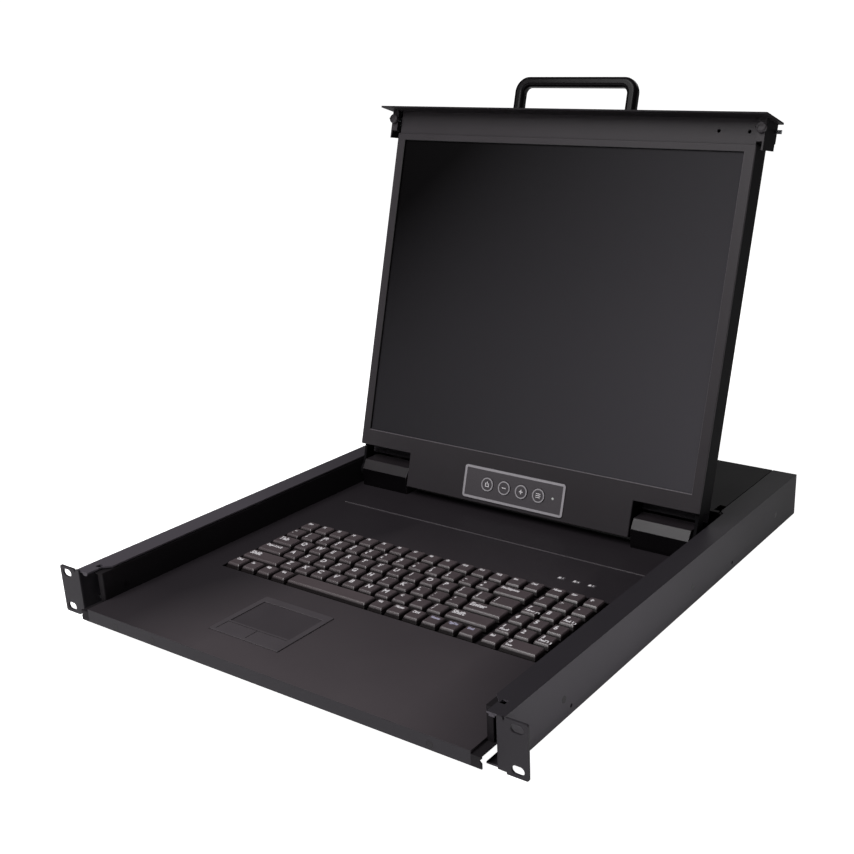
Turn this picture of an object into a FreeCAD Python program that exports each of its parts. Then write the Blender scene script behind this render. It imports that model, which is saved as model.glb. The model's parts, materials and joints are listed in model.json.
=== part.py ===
"""Rackmount LCD console drawer, one rack unit high.

Lengths are in millimetres. X is across the rack, Y runs from the front to the
rear and Z is up. The model is laid out with Z = 0 on the chassis underside and
Y = 0 on the front face of the rack ears. place() then lowers every piece so
that the origin is the centre of the rack slot pattern.
The lid is laid out upright in its own frame: x across, d the depth behind the
bezel face and s the height above the lower edge of the screen opening.
"""
import FreeCAD
import Part
import math
import os

V = FreeCAD.Vector

# Rack standard, one unit high
PANEL_W = 482.6
PANEL_H = 43.66
SLOT_INSET = 8.75
SLOT_PITCH_Z = 31.75
SLOT_L = 10.5
SLOT_W = 6.8

# Chassis rails
CHASSIS_D = 533.0
RAIL_H = 42.7
RAIL_T = 1.5
TOP_FLANGE_W = 21.1
BOTTOM_FLANGE_W = 17.3
BOTTOM_FLANGE_Y0 = 3.5
CUTBACK_W = 14.8
CUTBACK_L = 17.0
REAR_FLANGE_W = 25.4
MARK_R = 1.6
MARK_Y0 = 87.0
MARK_BEFORE_REAR = 24.0
MARK_Z = 6.8

# Rack ears
EAR_T = 2.0
EAR_REACH = 19.5
EAR_OVERLAP = 5.6
EAR_STEP_OUT = 1.7
EAR_STEP_H = 1.6
EAR_LEG_L = 28.0
EAR_LEG_Z = (4.0, 39.0)
EAR_NOTCH_W = 2.4
EAR_NOTCH_H = 3.0
EAR_CORNER_R = 2.0

# Rear box
REAR_BOX_D = 134.0
COVER_GAP = 0.8
COVER_LIP_W = 9.0
COVER_WALL_Z0 = 17.0
COVER_SLOT_W = 6.5
COVER_SLOT_IN = 4.0
COVER_SLOT_L = 14.0
COVER_SCREW_IN = 85.6
COVER_SCREW_BEHIND = 7.5
FLOOR_T = 1.2
FLOOR_AHEAD = 59.0
FLOOR_MARGIN = 2.0
PANEL_T = 1.5
PANEL_FLANGE_IN = 70.3
PANEL_FOOT_D = 10.0
PANEL_HEAD_D = 12.0
VENT_COUNT = 14
VENT_PITCH = 9.0
VENT_W = 3.0
VENT_H = 20.0
VENT_X = 40.0

# Power inlet, a standard three-pole appliance inlet
INLET_IN = 56.8
INLET_Z = 22.0
INLET_BODY_W = 27.0
INLET_BODY_H = 19.8
INLET_BODY_L = 26.0
INLET_RIM = 2.2
INLET_RIM_T = 2.5
INLET_CAVITY_W = 22.6
INLET_CAVITY_H = 14.6
INLET_CAVITY_L = 17.0
INLET_PIN_W = 2.0
INLET_PIN_H = 4.0
INLET_PIN_L = 13.0
INLET_PIN_PITCH = 7.0
INLET_PIN_DROP = 2.0

# Console ports
VIDEO_IN = 81.8
VIDEO_Z = 17.0
VIDEO_FLANGE_W = 30.8
VIDEO_FLANGE_H = 12.5
VIDEO_SHELL_W = 16.3
VIDEO_SHELL_H = 8.3
VIDEO_SHELL_L = 5.8
VIDEO_SCREW_PITCH = 25.0
USB_IN = 41.8
USB_W = 12.0
USB_H = 11.0
USB_L = 16.0
USB_HOLE_D = 10.0
VIDEO_BODY_IN = 5.2
VIDEO_BODY_D = 12.0
USB_WALL = 1.2

# Boards in the rear box
BOARD_T = 1.6
BOARD_Z = 9.0
POST_R = 3.0
POST_INSET = 10.0
MAIN_BOARD_IN = 29.8
MAIN_BOARD_W = 152.0
MAIN_BOARD_D = 103.0
MAIN_BOARD_BEHIND = 5.0
MAIN_BLOCKS = ((20.0, 48.0, 18.0, 46.0, 2.4), (66.0, 86.0, 20.0, 40.0, 2.0), (96.0, 126.0, 8.0, 18.0, 8.0))
CAN_R = 4.0
CAN_H = 11.0
CAN_X = (14.0, 26.0, 38.0, 50.0)
CAN_Y = 66.0
SUPPLY_IN = 31.8
SUPPLY_W = 120.0
SUPPLY_D = 90.0
SUPPLY_AHEAD = 11.0
SUPPLY_BLOCKS = ((44.0, 76.0, 26.0, 60.0, 22.0), (88.0, 110.0, 15.0, 70.0, 3.0))
SUPPLY_CAN = (24.0, 60.0, 9.0, 24.0)
FIN_X = (88.0, 92.0, 96.0, 100.0, 104.0, 108.0)
FIN_T = 2.0
FIN_Y = (15.0, 70.0)
FIN_H = 22.0

# Telescopic slides
SLIDE_T = 1.2
SLIDE_GAP = 0.4
SLIDE_FIXED_Z = (10.7, 40.5)
SLIDE_FIXED_Y0 = 31.0
SLIDE_FIXED_BEHIND = 17.0
SLIDE_FIXED_ARM = 6.9
SLIDE_MIDDLE_Y0 = 26.0
SLIDE_MIDDLE_BEHIND = 33.0
SLIDE_MIDDLE_IN = 12.4
SLIDE_MIDDLE_OUT = 5.9
SLIDE_MIDDLE_WEB_IN = 8.3
SLIDE_INNER_Y0 = 14.0
SLIDE_INNER_ARM = 4.2
SLIDE_SCREW_Y0 = 77.0
SLIDE_SCREW_AHEAD = 109.0
SLIDE_SCREW_BEHIND = 53.0
SLIDE_SCREW_Z = 17.0
BOSS_R = 4.5
BOSS_AHEAD = (226.0, 121.0, 16.0)
WALL_SCREW_Y = 33.0
WALL_SCREW_Z = 21.6

# Drawer
SIDE_SPACE = 21.8
TRAY_TOP = 14.8
TRAY_FRONT = -8.0
TRAY_REST = 33.0
DRAWER_BOTTOM = 3.0
SHEET = 1.2
SIDE_TOP = 40.2
SIDE_DEPTH = 7.6
SIDE_FRONT = 11.0
SIDE_LEDGE_Z = 11.1
SIDE_RETURN_W = 6.0
SIDE_TAB_W = 8.8
SIDE_TAB_NOTCH = 2.0
DECK_MARGIN = 20.0
DECK_AHEAD = (59.5, 14.5)
DECK_H = 0.8
DECK_R = 6.0
LIP_SCREW_IN = (34.7, 80.6)
LIP_SCREW_Z = 7.6

# Keyboard
KEY_MARGIN_LEFT = 33.0
KEY_MARGIN_RIGHT = 27.0
KEY_ROW_PART = 0.0541963
KEY_FRONT_PART = 0.3271693
KEY_GAP = 1.4
KEYPAD_GAP = 3.4
KEY_BOTTOM = 13.0
KEY_TOP = 17.9
KEY_TRAVEL = 1.6
KEY_SIDE_TAPER = 1.9
KEY_FRONT_TAPER = 2.8
KEY_BACK_TAPER = 1.0
KEY_OPENING_GAP = 1.0
KEY_STEM_R = 2.4
KEY_STEM_L = 3.1
KEY_STEM_FIT = 0.5
KEY_PLATE_T = 1.6
KEY_PLATE_TOP = 11.0
KEY_PLATE_MARGIN = 5.0

# Touchpad
PAD_IN = 82.0
PAD_W = 77.6
PAD_Y0 = 21.9
PAD_BEHIND = 26.9
PAD_BOTTOM = 10.4
PAD_PROUD = 0.9
PAD_RIM = 5.6
PAD_FIT = 0.15
PAD_SURFACE_Z = 14.9
PAD_EDGE_R = 0.5
PAD_BUTTON_Y = (3.0, 16.8)
PAD_SURFACE_Y0 = 19.2
PAD_BACK_RIM = 8.0
PAD_BUTTON_TRAVEL = 0.6
PAD_BUTTON_Z = (12.6, 15.5)

# Keyboard indicator lenses
LENS_IN = 60.0
LENS_PITCH = 15.4
LENS_BEHIND = 21.9
LENS_W = 7.5
LENS_D = 4.5
LENS_COUNT = 3

# Lid
LID_SIDE_GAP = 1.3
LID_T = 24.0
LID_OPEN = 106.08
LID_CLEAR = 0.5
BEZEL_SIDE = 10.1
SCREEN_BELOW_AXIS = 47.3
BEZEL_T = 2.0
BEZEL_BOTTOM = 16.9
BEZEL_TOP = 6.8
TONGUE_GAP = 1.7
TONGUE_S = -52.0
NOTCH_BACK_S = -26.0
LID_WALL = 1.2
GLASS_T = 2.2
GLASS_LAP = 4.4
GLASS_TOP_LAP = 2.4
MODULE_T = 9.8
MODULE_LAP = 2.4
DISPLAY_BOARD_W = 128.0
DISPLAY_POST_L = 3.5
DISPLAY_POST_IN = 8.0
DISPLAY_BLOCK_T = 2.0
DISPLAY_BLOCKS = ((-30.0, 30.0, 22.0), (14.0, 34.0, 16.0), (40.0, 60.0, 12.0))
MODULE_FOOT_IN = 48.7
MODULE_FOOT_W = 10.0

# Hinges
AXIS_AHEAD = 14.5
AXIS_D = 11.0
AXIS_S = -44.5
PIN_R = 4.0
PIN_FIT = 0.06
BARREL_R = 6.5
BARREL_IN = (26.7, 8.3)
FOOT_IN = (58.7, 8.3)
FOOT_AHEAD = 8.0
FOOT_BEHIND = 11.5
FOOT_SCREW_IN = (7.0, 22.0)
FOOT_T = 2.0
ARM_IN = (4.8, 1.8)
ARM_R = 8.5
ARM_TOP = 50.0
ARM_FOOT_W = 12.0
HINGE_COVER_IN = (65.5, 6.2)
HINGE_COVER_AHEAD = 10.5
HINGE_COVER_TOP = 42.4
HINGE_COVER_BREAK_Z = 33.0
HINGE_COVER_SLOPE = 6.0
HINGE_COVER_WALL = 1.6

# On-screen display panel
OSD_W = 119.0
OSD_S = (-48.5, -15.0)
OSD_T = 0.8
OSD_R = 3.0
OSD_WINDOW_W = 104.0
OSD_WINDOW_S = (-44.5, -18.5)
OSD_BUTTON_R = 7.3
OSD_BUTTON_PITCH = 20.2
OSD_BUTTON_S = -31.5
OSD_BUTTON_COUNT = 4
OSD_BUTTON_PROUD = 0.8
OSD_BUTTON_TRAVEL = 0.8
OSD_BUTTON_FIT = 0.3
OSD_FLANGE_R = 8.5
OSD_FLANGE_D = (0.3, 1.5)
OSD_LAMP_X = 46.5
OSD_LAMP_R = 1.3
OSD_BOARD_D = 4.0
OSD_SWITCH_D = 2.7
OSD_SWITCH_R = 2.0

# Front plate, handle and latches at the top edge of the lid
PLATE_SIDE = 12.9
PLATE_RISE = 29.0
PLATE_T = 1.5
PLATE_AHEAD = 17.6
PLATE_BEHIND = 25.0
PLATE_FLANGE_IN = 1.4
PLATE_FLANGE_RISE = 2.8
PLATE_REAR_FLANGE_DROP = 8.2
DIMPLE_IN = (37.7, 8.7)
DIMPLE_RISE = 17.8
DIMPLE_R = 1.7
HANDLE_W = 136.0
HANDLE_H = 37.1
HANDLE_BAR = 10.7
HANDLE_TOP_BAR = 10.0
HANDLE_D = 15.75
HANDLE_R = 15.0
HANDLE_INNER_R = 6.0
HANDLE_EDGE_R = 4.0
BRACKET_OUT = (0.2, 7.7)
BRACKET_T = 1.5
BRACKET_RISE = 5.3
BRACKET_NOSE_RISE = 1.3
BRACKET_FRONT_RISE = 8.8
BRACKET_STEP_RISE = 11.8
BRACKET_D = (22.6, 24.4)
LATCH_RISE = (20.4, 23.8)
LATCH_BLOCK_RISE = (16.8, 23.8)
LATCH_D = (21.3, 22.6)
LATCH_TIP_OUT = 12.9
LATCH_TRAVEL = 3.6
LATCH_FIT = 0.4
LATCH_BLOCK_OUT = (2.1, 5.8)
LATCH_BLOCK_D = 4.0
KNOB_OUT = 4.3
KNOB_RISE = 20.3
KNOB_R = 4.7
KNOB_T = 2.8
KNOB_STEM_R = 1.5
CATCH_IN = (13.2, 8.4)
CATCH_Y = (2.2, 3.5)
CATCH_Z0 = 39.3
FLANGE_SLOT_IN = (13.3, 8.8)
FLANGE_SLOT_Y = (15.0, 20.0)

# Screws
SCREW_HEAD_R = 2.8
SCREW_HEAD_T = 0.8
SCREW_R = 1.4
SCREW_FIT = 0.1

# Derived widths of the chassis
SLOT_PITCH_X = PANEL_W - 2 * SLOT_INSET
CHASSIS_W = PANEL_W - 2 * EAR_REACH
HALF_W = CHASSIS_W / 2
RAIL_IN = HALF_W - RAIL_T
TOP_UNDER = RAIL_H - RAIL_T
EAR_INNER_X = HALF_W - EAR_OVERLAP
EAR_STEP_X = HALF_W + EAR_STEP_OUT
SLIDE_MIDDLE_X = (HALF_W - SLIDE_MIDDLE_IN, HALF_W - SLIDE_MIDDLE_OUT)
SLIDE_MIDDLE_WEB_X = HALF_W - SLIDE_MIDDLE_WEB_IN
CATCH_X = tuple(HALF_W - n for n in CATCH_IN)
FLANGE_SLOT_X = tuple(HALF_W - n for n in FLANGE_SLOT_IN)
INLET_X = INLET_IN - HALF_W
VIDEO_X = HALF_W - VIDEO_IN
USB_X = HALF_W - USB_IN
MAIN_BOARD_X = (HALF_W - MAIN_BOARD_IN - MAIN_BOARD_W, HALF_W - MAIN_BOARD_IN)
SUPPLY_X = (SUPPLY_IN - HALF_W, SUPPLY_IN - HALF_W + SUPPLY_W)

# Derived depths of the chassis and the drawer
REAR_Y = CHASSIS_D - REAR_BOX_D
MARK_Y = (MARK_Y0, REAR_Y - MARK_BEFORE_REAR)
COVER_SLOT_Y = (REAR_Y + COVER_SLOT_IN, REAR_Y + COVER_SLOT_IN + COVER_SLOT_L)
FLOOR_Y0 = REAR_Y - FLOOR_AHEAD
MAIN_BOARD_Y = (CHASSIS_D - MAIN_BOARD_BEHIND - MAIN_BOARD_D, CHASSIS_D - MAIN_BOARD_BEHIND)
SUPPLY_Y = (REAR_Y + SUPPLY_AHEAD, REAR_Y + SUPPLY_AHEAD + SUPPLY_D)
TRAY_REAR = REAR_Y - TRAY_REST
AXIS_Y = TRAY_REAR - AXIS_AHEAD
SLIDE_FIXED_Y = (SLIDE_FIXED_Y0, CHASSIS_D - SLIDE_FIXED_BEHIND)
SLIDE_MIDDLE_Y = (SLIDE_MIDDLE_Y0, CHASSIS_D - SLIDE_MIDDLE_BEHIND)
SLIDE_INNER_Y = (SLIDE_INNER_Y0, TRAY_REAR)
SLIDE_SCREW_Y = (SLIDE_SCREW_Y0, REAR_Y - SLIDE_SCREW_AHEAD, CHASSIS_D - SLIDE_SCREW_BEHIND)
BOSS_Y = tuple(TRAY_REAR - n for n in BOSS_AHEAD)
DECK_Y = tuple(AXIS_Y - n for n in DECK_AHEAD)

# Derived places of the drawer and the keyboard
TRAY_W = CHASSIS_W - 2 * SIDE_SPACE
TRAY_HALF = TRAY_W / 2
DECK_W = TRAY_W - 2 * DECK_MARGIN
LIP_SCREW_X = (LIP_SCREW_IN[0] - TRAY_HALF, LIP_SCREW_IN[1] - TRAY_HALF, TRAY_HALF - LIP_SCREW_IN[0])
KEY_PITCH_X = (TRAY_W - KEY_MARGIN_LEFT - KEY_MARGIN_RIGHT - KEYPAD_GAP) / 18
KEY_PITCH_Y = AXIS_Y * KEY_ROW_PART
KEY_X0 = KEY_MARGIN_LEFT - TRAY_HALF
KEY_Y0 = AXIS_Y * KEY_FRONT_PART
PAD_X0 = KEY_X0 + PAD_IN
PAD_D = KEY_Y0 - PAD_Y0 - PAD_BEHIND
PAD_SURFACE_Y = (PAD_SURFACE_Y0, PAD_D - PAD_BACK_RIM)
TRAY_UNDER = TRAY_TOP - SHEET
PAN_TOP = DRAWER_BOTTOM + SHEET
LID_W = TRAY_W - 2 * LID_SIDE_GAP
LID_HALF = LID_W / 2
SCREEN_W = LID_W - 2 * BEZEL_SIDE
SCREEN_H = AXIS_Y - SCREEN_BELOW_AXIS
MODULE_W = SCREEN_W + 2 * MODULE_LAP
MODULE_FOOT_X = LID_HALF - MODULE_FOOT_IN
BARREL_X = tuple(LID_HALF - n for n in BARREL_IN)
FOOT_X = tuple(LID_HALF - n for n in FOOT_IN)
FOOT_Y = (AXIS_Y - FOOT_AHEAD, AXIS_Y + FOOT_BEHIND)
ARM_X = tuple(LID_HALF - n for n in ARM_IN)
HINGE_COVER_X = tuple(LID_HALF - n for n in HINGE_COVER_IN)
HINGE_COVER_Y = (AXIS_Y - HINGE_COVER_AHEAD, TRAY_REAR)
TONGUE_W = 2 * (HINGE_COVER_X[0] - TONGUE_GAP)
PLATE_W = LID_W + 2 * PLATE_SIDE
PLATE_S = SCREEN_H + PLATE_RISE
PLATE_FLANGE_W = LID_W - 2 * PLATE_FLANGE_IN
PLATE_FLANGE_S = SCREEN_H + PLATE_FLANGE_RISE
PLATE_REAR_FLANGE_S = SCREEN_H - PLATE_REAR_FLANGE_DROP
DIMPLE_X = tuple(LID_HALF - n for n in DIMPLE_IN)
DIMPLE_S = SCREEN_H + DIMPLE_RISE
BRACKET_X = tuple(LID_HALF + n for n in BRACKET_OUT)
BRACKET_S0 = SCREEN_H + BRACKET_RISE
BRACKET_NOSE_S = SCREEN_H + BRACKET_NOSE_RISE
BRACKET_FRONT_S = SCREEN_H + BRACKET_FRONT_RISE
BRACKET_STEP_S = SCREEN_H + BRACKET_STEP_RISE
LATCH_S = tuple(SCREEN_H + n for n in LATCH_RISE)
LATCH_BLOCK_S = tuple(SCREEN_H + n for n in LATCH_BLOCK_RISE)
LATCH_TIP_X = LID_HALF + LATCH_TIP_OUT
LATCH_BLOCK_X = tuple(LID_HALF + n for n in LATCH_BLOCK_OUT)
KNOB_X = LID_HALF + KNOB_OUT
KNOB_S = SCREEN_H + KNOB_RISE
LID_TILT = LID_OPEN - 90.0
LID_CLOSED_Z = KEY_TOP + LID_CLEAR
AXIS_Z = LID_CLOSED_Z + AXIS_D
BEZEL_TOP_S = SCREEN_H + BEZEL_TOP
BACK_D = LID_T - LID_WALL
UNIT_MID = PANEL_H / 2
SLIDE_OUTER_IN = RAIL_IN - SLIDE_T
SLIDE_INNER_X = TRAY_HALF + SIDE_DEPTH
MIDDLE_Z = (SLIDE_FIXED_Z[0] + SLIDE_T + SLIDE_GAP, SLIDE_FIXED_Z[1] - SLIDE_T - SLIDE_GAP)
INNER_Z = (MIDDLE_Z[0] + SLIDE_T + SLIDE_GAP, MIDDLE_Z[1] - SLIDE_T - SLIDE_GAP)
SLIDE_MID_Z = (INNER_Z[0] + INNER_Z[1]) / 2
KEYS_W = 15 * KEY_PITCH_X
KEYPAD_X0 = KEY_X0 + KEYS_W + KEYPAD_GAP
KEY_X1 = KEYPAD_X0 + 3 * KEY_PITCH_X
KEY_Y1 = KEY_Y0 + 6 * KEY_PITCH_Y
LENS_X = KEY_X1 - LENS_IN
LENS_Y = KEY_Y1 + LENS_BEHIND
COVER_HALF = HALF_W - REAR_FLANGE_W - COVER_GAP
COVER_SCREW_X = COVER_HALF - COVER_SCREW_IN

nodes = {}


def box(x0, x1, y0, y1, z0, z1):
    """Box between two corners."""
    return Part.makeBox(x1 - x0, y1 - y0, z1 - z0, V(x0, y0, z0))


def rod(radius, start, along, length):
    """Cylinder from a point along a direction."""
    return Part.makeCylinder(radius, length, V(*start), V(*along))


def fuse(shapes):
    """One solid from touching solids."""
    joined = shapes[0]
    for other in shapes[1:]:
        joined = joined.fuse(other)
    return joined.removeSplitter()


def prism(points, base, along):
    """Extrude a closed outline given as 3-D points."""
    wire = Part.makePolygon([V(*p) for p in points + points[:1]])
    face = Part.Face(wire)
    face.translate(V(*base))
    return face.extrude(V(*along))


def soften(shape, radius, pick):
    """Round the edges that pick() chooses."""
    edges = [e for e in shape.Edges if pick(e)]
    return shape.makeFillet(radius, edges)


def parallel(edge, axis):
    """True for a straight edge along one axis."""
    if not isinstance(edge.Curve, Part.Line):
        return False
    return edge.tangentAt(edge.FirstParameter).cross(V(*axis)).Length < 1e-6


def slot(x, y0, y1, z, length, width):
    """Horizontal slot cutter with round ends, through the thickness y0 to y1."""
    half = (length - width) / 2
    depth = y1 - y0
    ends = [rod(width / 2, (x + s * half, y0, z), (0, 1, 0), depth) for s in (-1, 1)]
    return fuse(ends + [box(x - half, x + half, y0, y1, z - width / 2, z + width / 2)])


def mirrored(shape):
    """The same piece for the left side."""
    return shape.mirror(V(0, 0, 0), V(1, 0, 0))


def both_sides(name, shape):
    """Store a right-hand piece and its left-hand mirror."""
    nodes["right_" + name] = shape
    nodes["left_" + name] = mirrored(shape)


def lid_place(shape):
    """Move a piece from the lid's own frame to the open position."""
    shape = shape.copy()
    shape.translate(V(0, -AXIS_D, -AXIS_S))
    shape.rotate(V(0, 0, 0), V(1, 0, 0), -LID_TILT)
    shape.translate(V(0, AXIS_Y, AXIS_Z))
    return shape


def lid_box(x0, x1, d0, d1, s0, s1):
    """Box in the lid's own frame."""
    return box(x0, x1, d0, d1, s0, s1)


def flush_screw(head, along, length):
    """Screw with a flat head, the head's face at the given point."""
    a = V(*along)
    start = V(*head)
    neck = start + a * SCREW_HEAD_T
    return fuse([
        Part.makeCylinder(SCREW_HEAD_R, SCREW_HEAD_T, start, a),
        Part.makeCylinder(SCREW_R, length, neck, a)])


def screw_seat(head, along, length):
    """Cutter that leaves room for flush_screw."""
    a = V(*along)
    start = V(*head)
    return fuse([
        Part.makeCylinder(SCREW_HEAD_R + SCREW_FIT, SCREW_HEAD_T, start, a),
        Part.makeCylinder(SCREW_R + SCREW_FIT, SCREW_HEAD_T + length + 1.0, start, a)])


def both(screws):
    """Screw places on the right together with their mirror images."""
    left = [((-h[0], h[1], h[2]), (-a[0], a[1], a[2]), n) for h, a, n in screws]
    return screws + left


# Screw places, as head point, direction and shank length
RAIL_SCREWS = [((HALF_W, y, SLIDE_SCREW_Z), (-1, 0, 0), 1.7) for y in SLIDE_SCREW_Y]
COVER_SCREWS = [((x, CHASSIS_D - COVER_SCREW_BEHIND, RAIL_H), (0, 0, -1), 1.8)
                for x in (-COVER_SCREW_X, 0.0, COVER_SCREW_X)]
LIP_SCREWS = [((x, TRAY_FRONT, LIP_SCREW_Z), (0, 1, 0), 1.5) for x in LIP_SCREW_X]
BOSS_SCREWS = [((SLIDE_INNER_X + SLIDE_T, y, SLIDE_MID_Z), (-1, 0, 0), SIDE_DEPTH - SHEET - 1.0) for y in BOSS_Y]
WALL_SCREW = [((TRAY_HALF, WALL_SCREW_Y, WALL_SCREW_Z), (1, 0, 0), 5.0)]
FOOT_SCREWS = [((x, sum(FOOT_Y) / 2, TRAY_TOP + FOOT_T + SCREW_HEAD_T), (0, 0, -1), FOOT_T + SHEET)
               for x in (FOOT_X[0] + n for n in FOOT_SCREW_IN)]


def side_rail():
    """Folded channel with a top and a bottom flange, the right-hand one."""
    web = box(RAIL_IN, HALF_W, EAR_T, CHASSIS_D, 0, RAIL_H)
    inner = HALF_W - TOP_FLANGE_W
    cut = HALF_W - CUTBACK_W
    rear = HALF_W - REAR_FLANGE_W
    slope = cut - inner
    outline = [
        (HALF_W, EAR_T, 0), (cut, EAR_T, 0), (cut, CUTBACK_L, 0),
        (inner, CUTBACK_L + slope, 0), (inner, REAR_Y, 0),
        (rear, REAR_Y + inner - rear, 0), (rear, CHASSIS_D, 0), (HALF_W, CHASSIS_D, 0)]
    top = prism(outline, (0, 0, TOP_UNDER), (0, 0, RAIL_T))
    bottom = box(HALF_W - BOTTOM_FLANGE_W, HALF_W, BOTTOM_FLANGE_Y0, CHASSIS_D, 0, RAIL_T)
    catch = box(*CATCH_X, *CATCH_Y, CATCH_Z0, TOP_UNDER)
    rail = fuse([web, top, bottom, catch])
    rail = rail.cut(box(*FLANGE_SLOT_X, *FLANGE_SLOT_Y, TOP_UNDER - 1, RAIL_H + 1))
    for y in MARK_Y:
        rail = rail.cut(rod(MARK_R, (RAIL_IN - 1, y, MARK_Z), (1, 0, 0), RAIL_T + 2))
    for head, along, length in RAIL_SCREWS:
        rail = rail.cut(screw_seat(head, along, length))
    return rail


def rack_ear():
    """Slotted mounting ear with a leg welded inside the rail."""
    outer = PANEL_W / 2
    plate = box(EAR_INNER_X, outer, 0, EAR_T, 0, PANEL_H)
    plate = soften(plate, EAR_CORNER_R, lambda e: parallel(e, (0, 1, 0)) and e.CenterOfMass.x > EAR_STEP_X)
    plate = plate.cut(box(EAR_INNER_X - 1, EAR_STEP_X, -1, EAR_T + 1, -1, EAR_STEP_H))
    half = EAR_NOTCH_W / 2
    notch = [(HALF_W - half, -1, PANEL_H + 0.1), (HALF_W + half, -1, PANEL_H + 0.1),
             (HALF_W, -1, PANEL_H - EAR_NOTCH_H)]
    plate = plate.cut(prism(notch, (0, 0, 0), (0, EAR_T + 2, 0)))
    for side in (-1, 1):
        z = UNIT_MID + side * SLOT_PITCH_Z / 2
        plate = plate.cut(slot(SLOT_PITCH_X / 2, -1, EAR_T + 1, z, SLOT_L, SLOT_W))
    leg = box(RAIL_IN - EAR_T, RAIL_IN, EAR_T, EAR_LEG_L, *EAR_LEG_Z)
    return fuse([plate, leg])


def rear_cover():
    """Top cover of the rear box with its front wall and side lips."""
    plate = box(-COVER_HALF, COVER_HALF, REAR_Y, CHASSIS_D, TOP_UNDER, RAIL_H)
    lip_out = COVER_HALF + COVER_LIP_W
    lips = [box(x0, x1, REAR_Y, CHASSIS_D - 2 * PANEL_T, TOP_UNDER - SHEET, TOP_UNDER)
            for x0, x1 in ((-lip_out, 6 - COVER_HALF), (COVER_HALF - 6, lip_out))]
    wall = box(-lip_out, lip_out, REAR_Y, REAR_Y + SHEET, COVER_WALL_Z0, TOP_UNDER)
    cover = fuse([plate, wall] + lips)
    for side in (-1, 1):
        x0, x1 = sorted((side * (COVER_HALF - COVER_SLOT_W), side * (COVER_HALF + 0.1)))
        cover = cover.cut(box(x0, x1, *COVER_SLOT_Y, TOP_UNDER - 2, RAIL_H + 1))
    for head, along, length in COVER_SCREWS:
        cover = cover.cut(screw_seat(head, along, length))
    return cover


def rear_floor():
    """Floor of the rear box, lying on the rails' bottom flanges."""
    half = RAIL_IN - FLOOR_MARGIN
    return box(-half, half, FLOOR_Y0, CHASSIS_D - PANEL_T, RAIL_T, RAIL_T + FLOOR_T)


def rear_panel():
    """Rear panel with its connector cut-outs, vents and two fixing flanges."""
    y0 = CHASSIS_D - PANEL_T
    panel = box(-RAIL_IN, RAIL_IN, y0, CHASSIS_D, RAIL_T, TOP_UNDER)
    floor_top = RAIL_T + FLOOR_T
    half = RAIL_IN - PANEL_FLANGE_IN
    foot = box(-half, half, y0 - PANEL_FOOT_D, y0, floor_top, floor_top + SHEET)
    head = box(-half, half, y0 - PANEL_HEAD_D, y0, TOP_UNDER - SHEET, TOP_UNDER)
    panel = fuse([panel, foot, head])
    panel = panel.cut(inlet_body(PAD_FIT))
    half = VIDEO_FLANGE_W / 2 - 5
    panel = panel.cut(box(VIDEO_X - half, VIDEO_X + half, y0 - 1, CHASSIS_D + 1, VIDEO_Z - 5, VIDEO_Z + 5))
    fit = PAD_FIT
    panel = panel.cut(box(USB_X - USB_W / 2 - fit, USB_X + USB_W / 2 + fit, y0 - 1, CHASSIS_D + 1,
                          VIDEO_Z - USB_H / 2 - fit, VIDEO_Z + USB_H / 2 + fit))
    for i in range(VENT_COUNT):
        x = VENT_X - i * VENT_PITCH
        panel = panel.cut(box(x, x + VENT_W, y0 - 1, CHASSIS_D + 1, INLET_Z - VENT_H / 2, INLET_Z + VENT_H / 2))
    for head_at, along, length in COVER_SCREWS:
        panel = panel.cut(screw_seat(head_at, along, length))
    return panel


def inlet_body(grow):
    """Rectangular body of the power inlet."""
    w = INLET_BODY_W / 2 + grow
    h = INLET_BODY_H / 2 + grow
    return box(INLET_X - w, INLET_X + w, CHASSIS_D - INLET_BODY_L, CHASSIS_D, INLET_Z - h, INLET_Z + h)


def power_inlet():
    """Three-pole inlet: housing, cavity and blades."""
    body = inlet_body(0)
    w = INLET_BODY_W / 2 + INLET_RIM
    h = INLET_BODY_H / 2 + INLET_RIM
    rim = box(INLET_X - w, INLET_X + w, CHASSIS_D, CHASSIS_D + INLET_RIM_T, INLET_Z - h, INLET_Z + h)
    rim = soften(rim, 2.0, lambda e: parallel(e, (0, 1, 0)))
    face = CHASSIS_D + INLET_RIM_T
    cw = INLET_CAVITY_W / 2
    ch = INLET_CAVITY_H / 2
    cavity = box(INLET_X - cw, INLET_X + cw, face - INLET_CAVITY_L, face + 1, INLET_Z - ch, INLET_Z + ch)
    cavity = cavity.makeChamfer(3.5, [e for e in cavity.Edges
                                      if parallel(e, (0, 1, 0)) and e.CenterOfMass.z < INLET_Z])
    housing = fuse([body, rim]).cut(cavity)
    back = face - INLET_CAVITY_L
    blades = []
    for i in (-1, 0, 1):
        x = INLET_X + i * INLET_PIN_PITCH
        z = INLET_Z + (INLET_PIN_DROP if i == 0 else -INLET_PIN_DROP)
        blades.append(box(x - INLET_PIN_W / 2, x + INLET_PIN_W / 2, back, back + INLET_PIN_L,
                          z - INLET_PIN_H / 2, z + INLET_PIN_H / 2))
    return Part.makeCompound([housing] + blades)


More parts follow.
